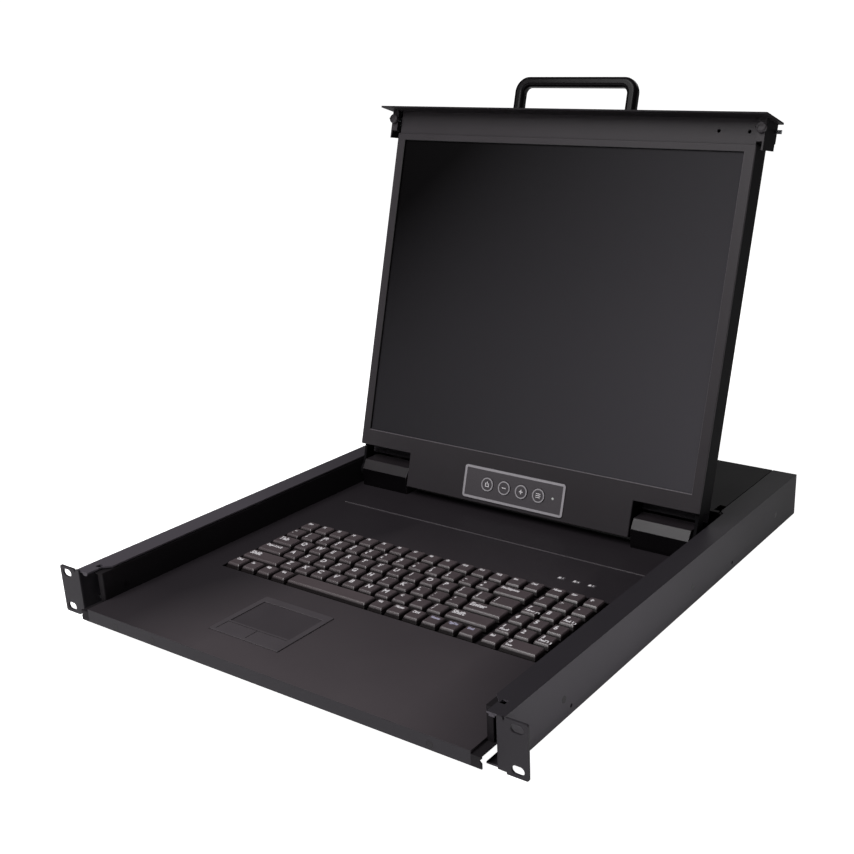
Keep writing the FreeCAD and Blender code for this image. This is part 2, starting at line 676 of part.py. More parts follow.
def console_ports():
    """Video connector and square data connector."""
    y = CHASSIS_D
    half_w = VIDEO_FLANGE_W / 2
    half_h = VIDEO_FLANGE_H / 2
    flange = box(VIDEO_X - half_w, VIDEO_X + half_w, y, y + 1, VIDEO_Z - half_h, VIDEO_Z + half_h)
    body_w = half_w - VIDEO_BODY_IN
    body = box(VIDEO_X - body_w, VIDEO_X + body_w, y - VIDEO_BODY_D, y, VIDEO_Z - 4.8, VIDEO_Z + 4.8)
    w = VIDEO_SHELL_W / 2
    h = VIDEO_SHELL_H / 2
    lean = 1.6
    shell = prism([(VIDEO_X - w, 0, VIDEO_Z + h), (VIDEO_X + w, 0, VIDEO_Z + h),
                   (VIDEO_X + w - lean, 0, VIDEO_Z - h), (VIDEO_X - w + lean, 0, VIDEO_Z - h)],
                  (0, y + 1, 0), (0, VIDEO_SHELL_L, 0))
    video = fuse([flange, body, shell])
    for row in (-1, 0, 1):
        for col in range(-2, 3):
            x = VIDEO_X + col * 2.29 + row * 0.57
            video = video.cut(rod(0.5, (x, y + 2, VIDEO_Z + row * 1.98), (0, 1, 0), VIDEO_SHELL_L))
    posts = []
    for side in (-1, 1):
        x = VIDEO_X + side * VIDEO_SCREW_PITCH / 2
        posts.append(rod(2.4, (x, y + 1, VIDEO_Z), (0, 1, 0), 4.5))
    video = fuse([video] + posts)
    w = USB_W / 2
    h = USB_H / 2
    data = box(USB_X - w, USB_X + w, y + 0.6 - USB_L, y + 0.6, VIDEO_Z - h, VIDEO_Z + h)
    hole = box(USB_X - w + USB_WALL, USB_X + w - USB_WALL, y - USB_HOLE_D, y + 2,
               VIDEO_Z - h + USB_WALL, VIDEO_Z + h - USB_WALL)
    key = box(USB_X - 2.8, USB_X + 2.8, y - USB_HOLE_D, y - 1, VIDEO_Z - 1.6, VIDEO_Z + 1.6)
    data = fuse([data.cut(hole), key])
    return Part.makeCompound([video, data])


def posts_under(x_range, y_range, z0, z1, inset):
    """Four support posts under a board."""
    xs = (x_range[0] + inset, x_range[1] - inset)
    ys = (y_range[0] + inset, y_range[1] - inset)
    return [rod(POST_R, (x, y, z0), (0, 0, 1), z1 - z0) for x in xs for y in ys]


def main_board():
    """Console electronics on its posts, the ports' carrier."""
    floor_top = RAIL_T + FLOOR_T
    board = box(*MAIN_BOARD_X, *MAIN_BOARD_Y, BOARD_Z, BOARD_Z + BOARD_T)
    parts = [board] + posts_under(MAIN_BOARD_X, MAIN_BOARD_Y, floor_top, BOARD_Z, POST_INSET)
    top = BOARD_Z + BOARD_T
    x0, y0 = MAIN_BOARD_X[0], MAIN_BOARD_Y[0]
    for xa, xb, ya, yb, high in MAIN_BLOCKS:
        parts.append(box(x0 + xa, x0 + xb, y0 + ya, y0 + yb, top, top + high))
    for x in CAN_X:
        parts.append(rod(CAN_R, (x0 + x, y0 + CAN_Y, top), (0, 0, 1), CAN_H))
    return fuse(parts)


def power_supply():
    """Supply board with its transformer, capacitor and heat sink."""
    floor_top = RAIL_T + FLOOR_T
    parts = [box(*SUPPLY_X, *SUPPLY_Y, BOARD_Z, BOARD_Z + BOARD_T)]
    parts += posts_under(SUPPLY_X, SUPPLY_Y, floor_top, BOARD_Z, POST_INSET)
    top = BOARD_Z + BOARD_T
    x0, y0 = SUPPLY_X[0], SUPPLY_Y[0]
    for xa, xb, ya, yb, high in SUPPLY_BLOCKS:
        parts.append(box(x0 + xa, x0 + xb, y0 + ya, y0 + yb, top, top + high))
    can_x, can_y, can_r, can_h = SUPPLY_CAN
    parts.append(rod(can_r, (x0 + can_x, y0 + can_y, top), (0, 0, 1), can_h))
    for x in FIN_X:
        parts.append(box(x0 + x, x0 + x + FIN_T, y0 + FIN_Y[0], y0 + FIN_Y[1], top, top + FIN_H))
    return fuse(parts)


def outer_slide():
    """Fixed slide member, a channel open towards the drawer."""
    z0, z1 = SLIDE_FIXED_Z
    y0, y1 = SLIDE_FIXED_Y
    arm = SLIDE_OUTER_IN - SLIDE_FIXED_ARM
    member = fuse([
        box(SLIDE_OUTER_IN, RAIL_IN, y0, y1, z0, z1),
        box(arm, SLIDE_OUTER_IN, y0, y1, z0, z0 + SLIDE_T),
        box(arm, SLIDE_OUTER_IN, y0, y1, z1 - SLIDE_T, z1)])
    for head, along, length in RAIL_SCREWS:
        member = member.cut(screw_seat(head, along, length))
    return member


def middle_slide():
    """Middle slide member, an H section between the other two."""
    z0, z1 = MIDDLE_Z
    y0, y1 = SLIDE_MIDDLE_Y
    x0, x1 = SLIDE_MIDDLE_X
    return fuse([
        box(SLIDE_MIDDLE_WEB_X, SLIDE_MIDDLE_WEB_X + SLIDE_T, y0, y1, z0, z1),
        box(x0, x1, y0, y1, z0, z0 + SLIDE_T),
        box(x0, x1, y0, y1, z1 - SLIDE_T, z1)])


def inner_slide():
    """Drawer slide member with the bosses that carry the drawer side."""
    z0, z1 = INNER_Z
    y0, y1 = SLIDE_INNER_Y
    x0 = SLIDE_INNER_X
    x1 = x0 + SLIDE_T
    parts = [
        box(x0, x1, y0, y1, z0, z1),
        box(x1, x1 + SLIDE_INNER_ARM, y0, y1, z0, z0 + SLIDE_T),
        box(x1, x1 + SLIDE_INNER_ARM, y0, y1, z1 - SLIDE_T, z1)]
    parts.append(rod(BOSS_R, (TRAY_HALF + SHEET, WALL_SCREW_Y, WALL_SCREW_Z), (1, 0, 0), SIDE_DEPTH - SHEET))
    member = fuse(parts)
    for head, along, length in BOSS_SCREWS + WALL_SCREW:
        member = member.cut(screw_seat(head, along, length))
    return member


def drawer_side():
    """Folded side wall of the drawer with its ledge and front tab."""
    x0 = TRAY_HALF
    x1 = x0 + SIDE_DEPTH
    y1 = TRAY_REAR
    web = box(x0, x0 + SHEET, SIDE_FRONT, y1, SIDE_LEDGE_Z, SIDE_TOP)
    top = box(x0, x1, SIDE_FRONT, y1, SIDE_TOP - SHEET, SIDE_TOP)
    front = box(x0, x0 + SIDE_RETURN_W, SIDE_FRONT, SIDE_FRONT + SHEET, SIDE_LEDGE_Z, SIDE_TOP)
    ledge = box(x0, x1, TRAY_FRONT, y1, SIDE_LEDGE_Z, SIDE_LEDGE_Z + SHEET)
    tab = box(x0 + 0.2, x0 + SIDE_TAB_W, TRAY_FRONT, TRAY_FRONT + SHEET, DRAWER_BOTTOM, SIDE_LEDGE_Z + SHEET)
    studs = [rod(BOSS_R, (x0 + SHEET, y, SLIDE_MID_Z), (1, 0, 0), SIDE_DEPTH - SHEET) for y in BOSS_Y]
    side = fuse([web, top, front, ledge, tab] + studs)
    side = soften(side, SHEET * 0.9, lambda e: parallel(e, (0, 0, 1)) and e.CenterOfMass.y < SIDE_FRONT + 0.01
                  and abs(e.CenterOfMass.x - x0) < 0.01 and e.Length > 10)
    corner = x0 + SIDE_TAB_W
    z = SIDE_LEDGE_Z - SIDE_TAB_NOTCH
    notch = [(corner + 0.1, 0, z + SIDE_TAB_NOTCH), (corner - SIDE_TAB_NOTCH, 0, z), (corner + 0.1, 0, z - SIDE_TAB_NOTCH)]
    side = side.cut(prism(notch, (0, TRAY_FRONT - 1, 0), (0, SHEET + 2, 0)))
    for head, along, length in BOSS_SCREWS + WALL_SCREW:
        side = side.cut(screw_seat(head, along, length))
    return side


def keyboard_tray():
    """Top sheet of the drawer: surface, front lip, side flanges and cut-outs."""
    x = TRAY_HALF
    y0, y1 = TRAY_FRONT, TRAY_REAR
    top = box(-x, x, y0, y1, TRAY_UNDER, TRAY_TOP)
    lip = box(-x, x, y0, y0 + SHEET, DRAWER_BOTTOM, TRAY_UNDER)
    sides = [box(-x, SHEET - x, y0 + SHEET, y1, PAN_TOP, TRAY_UNDER),
             box(x - SHEET, x, y0 + SHEET, y1, PAN_TOP, TRAY_UNDER)]
    deck = box(-DECK_W / 2, DECK_W / 2, *DECK_Y, TRAY_TOP, TRAY_TOP + DECK_H)
    deck = soften(deck, DECK_R, lambda e: parallel(e, (0, 0, 1)))
    tray = fuse([top, lip, deck] + sides)
    gap = KEY_OPENING_GAP
    tray = tray.cut(box(KEY_X0 - gap, KEY_X1 + gap, KEY_Y0 - gap, KEY_Y1 + gap, TRAY_UNDER - 1, TRAY_TOP + 1))
    fit = PAD_FIT
    tray = tray.cut(box(PAD_X0 - fit, PAD_X0 + PAD_W + fit, PAD_Y0 - fit, PAD_Y0 + PAD_D + fit,
                        TRAY_UNDER - 1, TRAY_TOP + 1))
    for i in range(LENS_COUNT):
        tray = tray.cut(lens(i, PAD_FIT))
    for head, along, length in LIP_SCREWS + both(FOOT_SCREWS):
        tray = tray.cut(screw_seat(head, along, length))
    return tray


def lens(i, grow):
    """One indicator lens."""
    x = LENS_X + i * LENS_PITCH
    w = LENS_W / 2 + grow
    d = LENS_D / 2 + grow
    return box(x - w, x + w, LENS_Y - d, LENS_Y + d, TRAY_UNDER - 1.2, TRAY_TOP + 0.15)


def drawer_base():
    """Bottom pan of the drawer with its front return and support posts."""
    x = TRAY_HALF
    y0 = TRAY_FRONT + SHEET
    pan = box(-x, x, y0, TRAY_REAR, DRAWER_BOTTOM, PAN_TOP)
    front = box(SHEET + 1 - x, x - SHEET - 1, y0, y0 + SHEET, PAN_TOP, TRAY_UNDER - 1)
    rear = box(SHEET + 1 - x, x - SHEET - 1, TRAY_REAR - SHEET, TRAY_REAR, PAN_TOP, TRAY_UNDER)
    parts = [pan, front, rear]
    under = KEY_PLATE_TOP - KEY_PLATE_T
    xs = [KEY_X0 - KEY_PLATE_MARGIN / 2, (KEY_X0 + KEY_X1) / 2 - 4, KEY_X1 + KEY_PLATE_MARGIN / 2]
    ys = [KEY_Y0 - KEY_PLATE_MARGIN / 2, KEY_Y1 + KEY_PLATE_MARGIN / 2]
    for px in xs:
        for py in ys:
            parts.append(rod(KEY_PLATE_MARGIN / 2, (px, py, PAN_TOP), (0, 0, 1), under - PAN_TOP))
    for px in (PAD_X0 + 6, PAD_X0 + PAD_W - 6):
        for py in (PAD_Y0 + 8, PAD_Y0 + PAD_D - 6):
            parts.append(rod(POST_R, (px, py, PAN_TOP), (0, 0, 1), PAD_BOTTOM - PAN_TOP))
    base = fuse(parts)
    for head, along, length in LIP_SCREWS:
        base = base.cut(screw_seat(head, along, length))
    return base


def key_frames():
    """Every key as (group, left edge, front edge, width)."""
    rows = [
        ("front_row_keys", [1] * 4 + [5] + [1] * 6),
        ("letter_keys", [2.5] + [1] * 10 + [2.5]),
        ("letter_keys", [1.75] + [1] * 11 + [2.25]),
        ("letter_keys", [1.5] + [1] * 12 + [1.5]),
        ("number_keys", [1] * 13 + [2]),
        ("function_keys", [1] * 15)]
    frames = []
    for number, (group, widths) in enumerate(rows):
        y = KEY_Y0 + number * KEY_PITCH_Y
        x = KEY_X0
        for units in widths:
            name = "space_bar" if units == 5 else group
            frames.append((name, x, y, units * KEY_PITCH_X))
            x += units * KEY_PITCH_X
        x = KEYPAD_X0
        for units in ([1, 2] if number == 0 else [1, 1, 1]):
            frames.append(("keypad_keys", x, y, units * KEY_PITCH_X))
            x += units * KEY_PITCH_X
    return frames


def rectangle(x0, x1, y0, y1, z):
    """Closed rectangular wire at one height."""
    corners = [V(x0, y0, z), V(x1, y0, z), V(x1, y1, z), V(x0, y1, z), V(x0, y0, z)]
    return Part.makePolygon(corners)


def keycap(x, y, width):
    """Tapered keycap with its stem."""
    gap = KEY_GAP / 2
    x0, x1 = x + gap, x + width - gap
    y0, y1 = y + gap, y + KEY_PITCH_Y - gap
    low = rectangle(x0, x1, y0, y1, KEY_BOTTOM)
    high = rectangle(x0 + KEY_SIDE_TAPER, x1 - KEY_SIDE_TAPER,
                     y0 + KEY_FRONT_TAPER, y1 - KEY_BACK_TAPER, KEY_TOP)
    cap = Part.makeLoft([low, high], True, True)
    stem = rod(KEY_STEM_R, ((x0 + x1) / 2, (y0 + y1) / 2, KEY_BOTTOM), (0, 0, -1), KEY_STEM_L)
    return cap.fuse(stem)


def keyboard_plate():
    """Plate under the keys with a guide hole for every stem."""
    m = KEY_PLATE_MARGIN
    z0 = KEY_PLATE_TOP - KEY_PLATE_T
    plate = box(KEY_X0 - m, KEY_X1 + m, KEY_Y0 - m, KEY_Y1 + m, z0, KEY_PLATE_TOP)
    holes = []
    for _, x, y, width in key_frames():
        holes.append(rod(KEY_STEM_R + KEY_STEM_FIT, (x + width / 2, y + KEY_PITCH_Y / 2, z0 - 1),
                         (0, 0, 1), KEY_PLATE_T + 2))
    return plate.cut(Part.makeCompound(holes))


def pad_button_box(side, grow, z0, z1):
    """Block in the place of one touchpad button."""
    x0 = PAD_X0 + PAD_RIM
    x1 = PAD_X0 + PAD_W - PAD_RIM
    mid = (x0 + x1) / 2
    xa, xb = (x0, mid - 0.3) if side < 0 else (mid + 0.3, x1)
    y0, y1 = PAD_BUTTON_Y
    return box(xa - grow, xb + grow, PAD_Y0 + y0 - grow, PAD_Y0 + y1 + grow, z0, z1)


def touchpad_bezel():
    """Frame of the touchpad with a floor under surface and buttons."""
    z1 = TRAY_TOP + PAD_PROUD
    bezel = box(PAD_X0, PAD_X0 + PAD_W, PAD_Y0, PAD_Y0 + PAD_D, PAD_BOTTOM, z1)
    bezel = soften(bezel, 2.0, lambda e: parallel(e, (0, 0, 1)))
    x0 = PAD_X0 + PAD_RIM
    x1 = PAD_X0 + PAD_W - PAD_RIM
    y0, y1 = PAD_SURFACE_Y
    bezel = bezel.cut(box(x0, x1, PAD_Y0 + y0, PAD_Y0 + y1, PAD_SURFACE_Z - 1, z1 + 1))
    floor = PAD_BUTTON_Z[0] - PAD_BUTTON_TRAVEL - 0.2
    bezel = soften(bezel, PAD_EDGE_R, lambda e: abs(e.CenterOfMass.z - z1) < 1e-6)
    both_buttons = pad_button_box(-1, PAD_FIT, floor, z1 + 1).fuse(pad_button_box(1, PAD_FIT, floor, z1 + 1))
    return bezel.cut(both_buttons)


def touchpad_surface():
    """Sensing surface glued into the bezel."""
    x0 = PAD_X0 + PAD_RIM
    x1 = PAD_X0 + PAD_W - PAD_RIM
    y0, y1 = PAD_SURFACE_Y
    return box(x0, x1, PAD_Y0 + y0, PAD_Y0 + y1, PAD_SURFACE_Z - 1, PAD_SURFACE_Z)


def touch_button(side):
    """Touchpad button with softened top edges."""
    block = pad_button_box(side, 0, *PAD_BUTTON_Z)
    return soften(block, 0.4, lambda e: abs(e.CenterOfMass.z - PAD_BUTTON_Z[1]) < 1e-6)


def hinge_base():
    """Foot and barrel that carry the lid's pin."""
    barrel = rod(BARREL_R, (BARREL_X[0], AXIS_Y, AXIS_Z), (1, 0, 0), BARREL_X[1] - BARREL_X[0])
    web = box(*BARREL_X, AXIS_Y - BARREL_R * 0.7, AXIS_Y + BARREL_R * 0.7, TRAY_TOP + FOOT_T, AXIS_Z)
    foot = box(*FOOT_X, *FOOT_Y, TRAY_TOP, TRAY_TOP + FOOT_T)
    base = fuse([barrel, web, foot])
    base = base.cut(rod(PIN_R + PIN_FIT, (BARREL_X[0] - 1, AXIS_Y, AXIS_Z), (1, 0, 0),
                        BARREL_X[1] - BARREL_X[0] + 2))
    for head, along, length in FOOT_SCREWS:
        base = base.cut(rod(SCREW_R + SCREW_FIT, (head[0], head[1], TRAY_TOP - 1), (0, 0, 1), FOOT_T + 2))
    return base


def hinge_cover():
    """Moulded hood over the hinge, open underneath."""
    x0, x1 = HINGE_COVER_X
    y0, y1 = HINGE_COVER_Y
    wall = HINGE_COVER_WALL

    def profile(inset):
        top = HINGE_COVER_TOP - inset
        return [(0, y0 + inset, TRAY_TOP - (1 if inset else 0)), (0, y0 + inset, HINGE_COVER_BREAK_Z),
                (0, y0 + HINGE_COVER_SLOPE + inset, top), (0, y1 - inset, top),
                (0, y1 - inset, TRAY_TOP - (1 if inset else 0))]

    outer = prism(profile(0), (x0, 0, 0), (x1 - x0, 0, 0))
    inner = prism(profile(wall), (x0 + wall, 0, 0), (x1 - x0 - 2 * wall, 0, 0))
    hood = outer.cut(inner)
    return hood.cut(rod(PIN_R + 0.5, (x1 - wall - 1, AXIS_Y, AXIS_Z), (1, 0, 0), wall + 2))


def lid_outline_box(inset, d0, d1):
    """Screen part and lower tongue of the lid as one block."""
    half = LID_HALF - inset
    tongue = TONGUE_W / 2 - inset
    main = lid_box(-half, half, d0, d1, inset - BEZEL_BOTTOM, BEZEL_TOP_S - inset)
    low = lid_box(-tongue, tongue, d0, d1, TONGUE_S + inset, inset - BEZEL_BOTTOM + 1)
    return fuse([main, low])


def lid_bezel():
    """Front frame of the lid."""
    frame = lid_outline_box(0, 0, BEZEL_T)
    frame = soften(frame, 0.8, lambda e: abs(e.CenterOfMass.y) < 1e-6)
    frame = frame.cut(lid_box(-SCREEN_W / 2, SCREEN_W / 2, -1, BEZEL_T + 1, 0, SCREEN_H))
    frame = frame.cut(lid_box(-OSD_WINDOW_W / 2, OSD_WINDOW_W / 2, -1, BEZEL_T + 1, *OSD_WINDOW_S))
    return frame


def lid_back_cover():
    """Rear pan of the lid with its lower flanges."""
    pan = lid_outline_box(0, BEZEL_T, LID_T)
    inner = lid_outline_box(LID_WALL, BEZEL_T - 1, BACK_D)
    pan = pan.cut(inner)
    flanges = [lid_box(x0, x1, BACK_D, LID_T, NOTCH_BACK_S, -BEZEL_BOTTOM)
               for x0, x1 in ((-LID_HALF, -TONGUE_W / 2), (TONGUE_W / 2, LID_HALF))]
    pan = fuse([pan] + flanges)
    band = PLATE_FLANGE_W / 2
    pan = pan.cut(lid_box(-band - 0.1, band + 0.1, BEZEL_T - 1, BEZEL_T + PLATE_T,
                          BEZEL_TOP_S - LID_WALL - 0.1, BEZEL_TOP_S + 1))
    for side in (-1, 1):
        x0, x1 = sorted((side * (ARM_X[0] - 0.3), side * (ARM_X[1] + 0.3)))
        pan = pan.cut(lid_box(x0, x1, AXIS_D - ARM_R, AXIS_D + ARM_R, -BEZEL_BOTTOM - 1, LID_WALL - BEZEL_BOTTOM + 0.5))
    for head, along, length in LID_SCREWS:
        pan = pan.cut(screw_seat(head, along, length))
    return pan


def screen_glass():
    """Front glass behind the bezel opening."""
    half = SCREEN_W / 2 + GLASS_LAP
    return lid_box(-half, half, BEZEL_T, BEZEL_T + GLASS_T, -GLASS_LAP, SCREEN_H + GLASS_TOP_LAP)


def lcd_module():
    """Display module behind the glass with feet on the back cover."""
    d0 = BEZEL_T + GLASS_T
    d1 = d0 + MODULE_T
    half = MODULE_W / 2
    parts = [lid_box(-half, half, d0, d1, -GLASS_LAP, SCREEN_H + GLASS_TOP_LAP)]
    for side in (-1, 1):
        for s in (SCREEN_H * 0.15, SCREEN_H * 0.85):
            x = side * MODULE_FOOT_X
            w = MODULE_FOOT_W / 2
            parts.append(lid_box(x - w, x + w, d1, BACK_D, s - w, s + w))
    return fuse(parts)


def display_board():
    """Display electronics on posts behind the module."""
    d1 = BACK_D - DISPLAY_POST_L
    d0 = d1 - BOARD_T
    s0, s1 = SCREEN_H * 0.3, SCREEN_H * 0.62
    parts = [lid_box(-DISPLAY_BOARD_W / 2, DISPLAY_BOARD_W / 2, d0, d1, s0, s1)]
    post_x = DISPLAY_BOARD_W / 2 - DISPLAY_POST_IN
    for x in (-post_x, post_x):
        for s in (s0 + DISPLAY_POST_IN, s1 - DISPLAY_POST_IN):
            parts.append(rod(POST_R, (x, d1, s), (0, 1, 0), BACK_D - d1))
    for x, s, w in DISPLAY_BLOCKS:
        parts.append(lid_box(x, x + w, d0 - DISPLAY_BLOCK_T, d0, s0 + s, s0 + s + w))
    return fuse(parts)


def osd_places():
    """Centres of the round buttons across the lid."""
    first = -(OSD_BUTTON_COUNT - 1) / 2
    return [(first + i) * OSD_BUTTON_PITCH for i in range(OSD_BUTTON_COUNT)]


def osd_panel():
    """Front label panel with holes for buttons and lamp."""
    panel = lid_box(-OSD_W / 2, OSD_W / 2, -OSD_T, 0, *OSD_S)
    panel = soften(panel, OSD_R, lambda e: parallel(e, (0, 1, 0)))
    for x in osd_places():
        panel = panel.cut(rod(OSD_BUTTON_R + OSD_BUTTON_FIT, (x, -OSD_T - 1, OSD_BUTTON_S), (0, 1, 0), OSD_T + 2))
    return panel.cut(rod(OSD_LAMP_R + SCREW_FIT, (OSD_LAMP_X, -OSD_T - 1, OSD_BUTTON_S), (0, 1, 0), OSD_T + 2))


def osd_button(x):
    """Round push button held behind the panel by its flange."""
    d0 = -OSD_T - OSD_BUTTON_PROUD
    cap = rod(OSD_BUTTON_R, (x, d0, OSD_BUTTON_S), (0, 1, 0), OSD_FLANGE_D[1] - d0)
    cap = soften(cap, 0.4, lambda e: abs(e.CenterOfMass.y - d0) < 1e-6)
    flange = rod(OSD_FLANGE_R, (x, OSD_FLANGE_D[0], OSD_BUTTON_S), (0, 1, 0), OSD_FLANGE_D[1] - OSD_FLANGE_D[0])
    return fuse([cap, flange])


def button_board():
    """Switch board behind the round buttons, on spacers from the bezel."""
    d = OSD_BOARD_D
    half = OSD_WINDOW_W / 2 + 4
    s0, s1 = OSD_WINDOW_S[0] - 3, OSD_WINDOW_S[1] + 3
    parts = [lid_box(-half, half, d, d + BOARD_T, s0, s1)]
    for x in (-half + 1.5, half - 1.5):
        for s in (s0 + 3, s1 - 3):
            parts.append(lid_box(x - 1.5, x + 1.5, BEZEL_T, d, s - 1.5, s + 1.5))
    for x in osd_places():
        parts.append(rod(OSD_SWITCH_R, (x, OSD_SWITCH_D, OSD_BUTTON_S), (0, 1, 0), d - OSD_SWITCH_D))
    return fuse(parts)


def osd_lamp():
    """Indicator lamp standing on the switch board."""
    return rod(OSD_LAMP_R, (OSD_LAMP_X, -OSD_T - 0.2, OSD_BUTTON_S), (0, 1, 0), OSD_BOARD_D + OSD_T + 0.2)


def front_plate():
    """Top edge plate of the lid with its front band and rear flange."""
    half = PLATE_W / 2
    band = PLATE_FLANGE_W / 2
    plate = lid_box(-half, half, -PLATE_AHEAD, PLATE_BEHIND, PLATE_S, PLATE_S + PLATE_T)
    plate = soften(plate, 1.5, lambda e: parallel(e, (0, 0, 1)))
    front = lid_box(-band, band, BEZEL_T, BEZEL_T + PLATE_T, PLATE_FLANGE_S, PLATE_S)
    rear = lid_box(-band, band, LID_T, PLATE_BEHIND, PLATE_REAR_FLANGE_S, PLATE_S)
    plate = fuse([plate, front, rear])
    for x in DIMPLE_X:
        plate = plate.cut(rod(DIMPLE_R, (x, BEZEL_T - 1, DIMPLE_S), (0, 1, 0), PLATE_T + 2))
    return plate


def handle():
    """Rounded U-shaped handle on the top edge plate."""
    half = HANDLE_W / 2
    s0 = PLATE_S + PLATE_T
    s1 = s0 + HANDLE_H
    d0 = HANDLE_D - HANDLE_BAR / 2
    d1 = HANDLE_D + HANDLE_BAR / 2
    outer = lid_box(-half, half, d0, d1, s0, s1)
    outer = soften(outer, HANDLE_R, lambda e: parallel(e, (0, 1, 0)) and e.CenterOfMass.z > s0 + 1)
    inner = lid_box(HANDLE_BAR - half, half - HANDLE_BAR, d0 - 1, d1 + 1, s0 - 10, s1 - HANDLE_TOP_BAR)
    inner = soften(inner, HANDLE_INNER_R, lambda e: parallel(e, (0, 1, 0)) and e.CenterOfMass.z > s0 + 1)
    bow = outer.cut(inner)
    return soften(bow, HANDLE_EDGE_R, lambda e: abs(abs(e.CenterOfMass.y - HANDLE_D) - HANDLE_BAR / 2) < 1e-6
                  and e.CenterOfMass.z > s0 + 0.01)


def latch_bracket():
    """Bent bracket that guides the latch, under the edge plate."""
    x0, x1 = BRACKET_X
    t = BRACKET_T
    d_low, d_high = BRACKET_D
    d0 = -2 * t
    outline = [(d0, BRACKET_NOSE_S), (d_low, BRACKET_S0), (d_low, BRACKET_STEP_S), (d_high, BRACKET_STEP_S),
               (d_high, PLATE_S), (d0, PLATE_S)]
    outer = prism([(x1 - t, d, s) for d, s in outline], (0, 0, 0), (t, 0, 0))
    top = lid_box(x0, x1, d0, d_high, PLATE_S - t, PLATE_S)
    front = lid_box(x0, x1, d0, d0 + t, BRACKET_FRONT_S, PLATE_S)
    inner = lid_box(x0, x0 + t, d0, BEZEL_T, BRACKET_FRONT_S, PLATE_S)
    bracket = fuse([outer, top, front, inner])
    fit = LATCH_FIT
    bracket = bracket.cut(lid_box(x1 - t - 1, x1 + 1, LATCH_D[0] - fit, LATCH_D[1] + fit,
                                  LATCH_S[0] - fit, LATCH_S[1] + fit))
    s = KNOB_S
    r = KNOB_STEM_R + fit
    return bracket.cut(fuse([
        lid_box(x0 - 1, KNOB_X, d0 - 1, BEZEL_T + 1, s - r, s + r),
        rod(r, (KNOB_X, d0 - 1, s), (0, 1, 0), t + 2)]))


def latch_bolt():
    """Sliding latch: flat bolt, carriage, stem and knob."""
    x0, x1 = LATCH_BLOCK_X
    s = KNOB_S
    front = -2 * BRACKET_T
    bolt = lid_box(x0, LATCH_TIP_X, *LATCH_D, *LATCH_S)
    carriage = lid_box(x0, x1, LATCH_BLOCK_D, LATCH_D[1], *LATCH_BLOCK_S)
    stem = rod(KNOB_STEM_R, (KNOB_X, front - LATCH_FIT - 0.5, s), (0, 1, 0), LATCH_BLOCK_D - front + LATCH_FIT + 1)
    knob = rod(KNOB_R, (KNOB_X, front - LATCH_FIT - KNOB_T, s), (0, 1, 0), KNOB_T)
    knob = soften(knob, 0.8, lambda e: abs(e.CenterOfMass.y - (front - LATCH_FIT - KNOB_T)) < 1e-6)
    return fuse([bolt, carriage, stem, knob])


def hinge_arm():
    """Lid arm with its disk, neck, foot and pin."""
    x0, x1 = ARM_X
    disk = rod(ARM_R, (x0, AXIS_D, AXIS_S), (1, 0, 0), x1 - x0)
    neck = lid_box(x0, x1, AXIS_D - ARM_R * 0.7, AXIS_D + ARM_R * 0.7, AXIS_S, ARM_TOP)
    s0 = GLASS_LAP - BEZEL_BOTTOM + 4
    foot = lid_box(x0 - ARM_FOOT_W, x1, BACK_D - 2.0, BACK_D, s0, ARM_TOP)
    rib = lid_box(x0, x1, AXIS_D, BACK_D, s0, ARM_TOP)
    pin = rod(PIN_R, (BARREL_X[0] - 2, AXIS_D, AXIS_S), (1, 0, 0), x0 - BARREL_X[0] + 2)
    arm = fuse([disk, neck, foot, rib, pin])
    for head, along, length in LID_SCREWS:
        if head[0] > 0 and along[1] < 0 and head[2] < ARM_TOP:
            arm = arm.cut(screw_seat(head, along, length))
    return arm


def screws(places, where=None):
    """Compound of flush screws."""
    made = [flush_screw(*place) for place in places]
    return Part.makeCompound([where(s) if where else s for s in made])


ARM_SCREW_X = ARM_X[0] - ARM_FOOT_W / 2
LID_ARM_SCREW_S = (14.0, 36.0)
LID_SCREWS = both(
    [((ARM_SCREW_X, LID_T, s), (0, -1, 0), LID_WALL + 1.0) for s in LID_ARM_SCREW_S]
    + [((MODULE_FOOT_X, LID_T, SCREEN_H * f), (0, -1, 0), LID_WALL + 3.0) for f in (0.15, 0.85)])


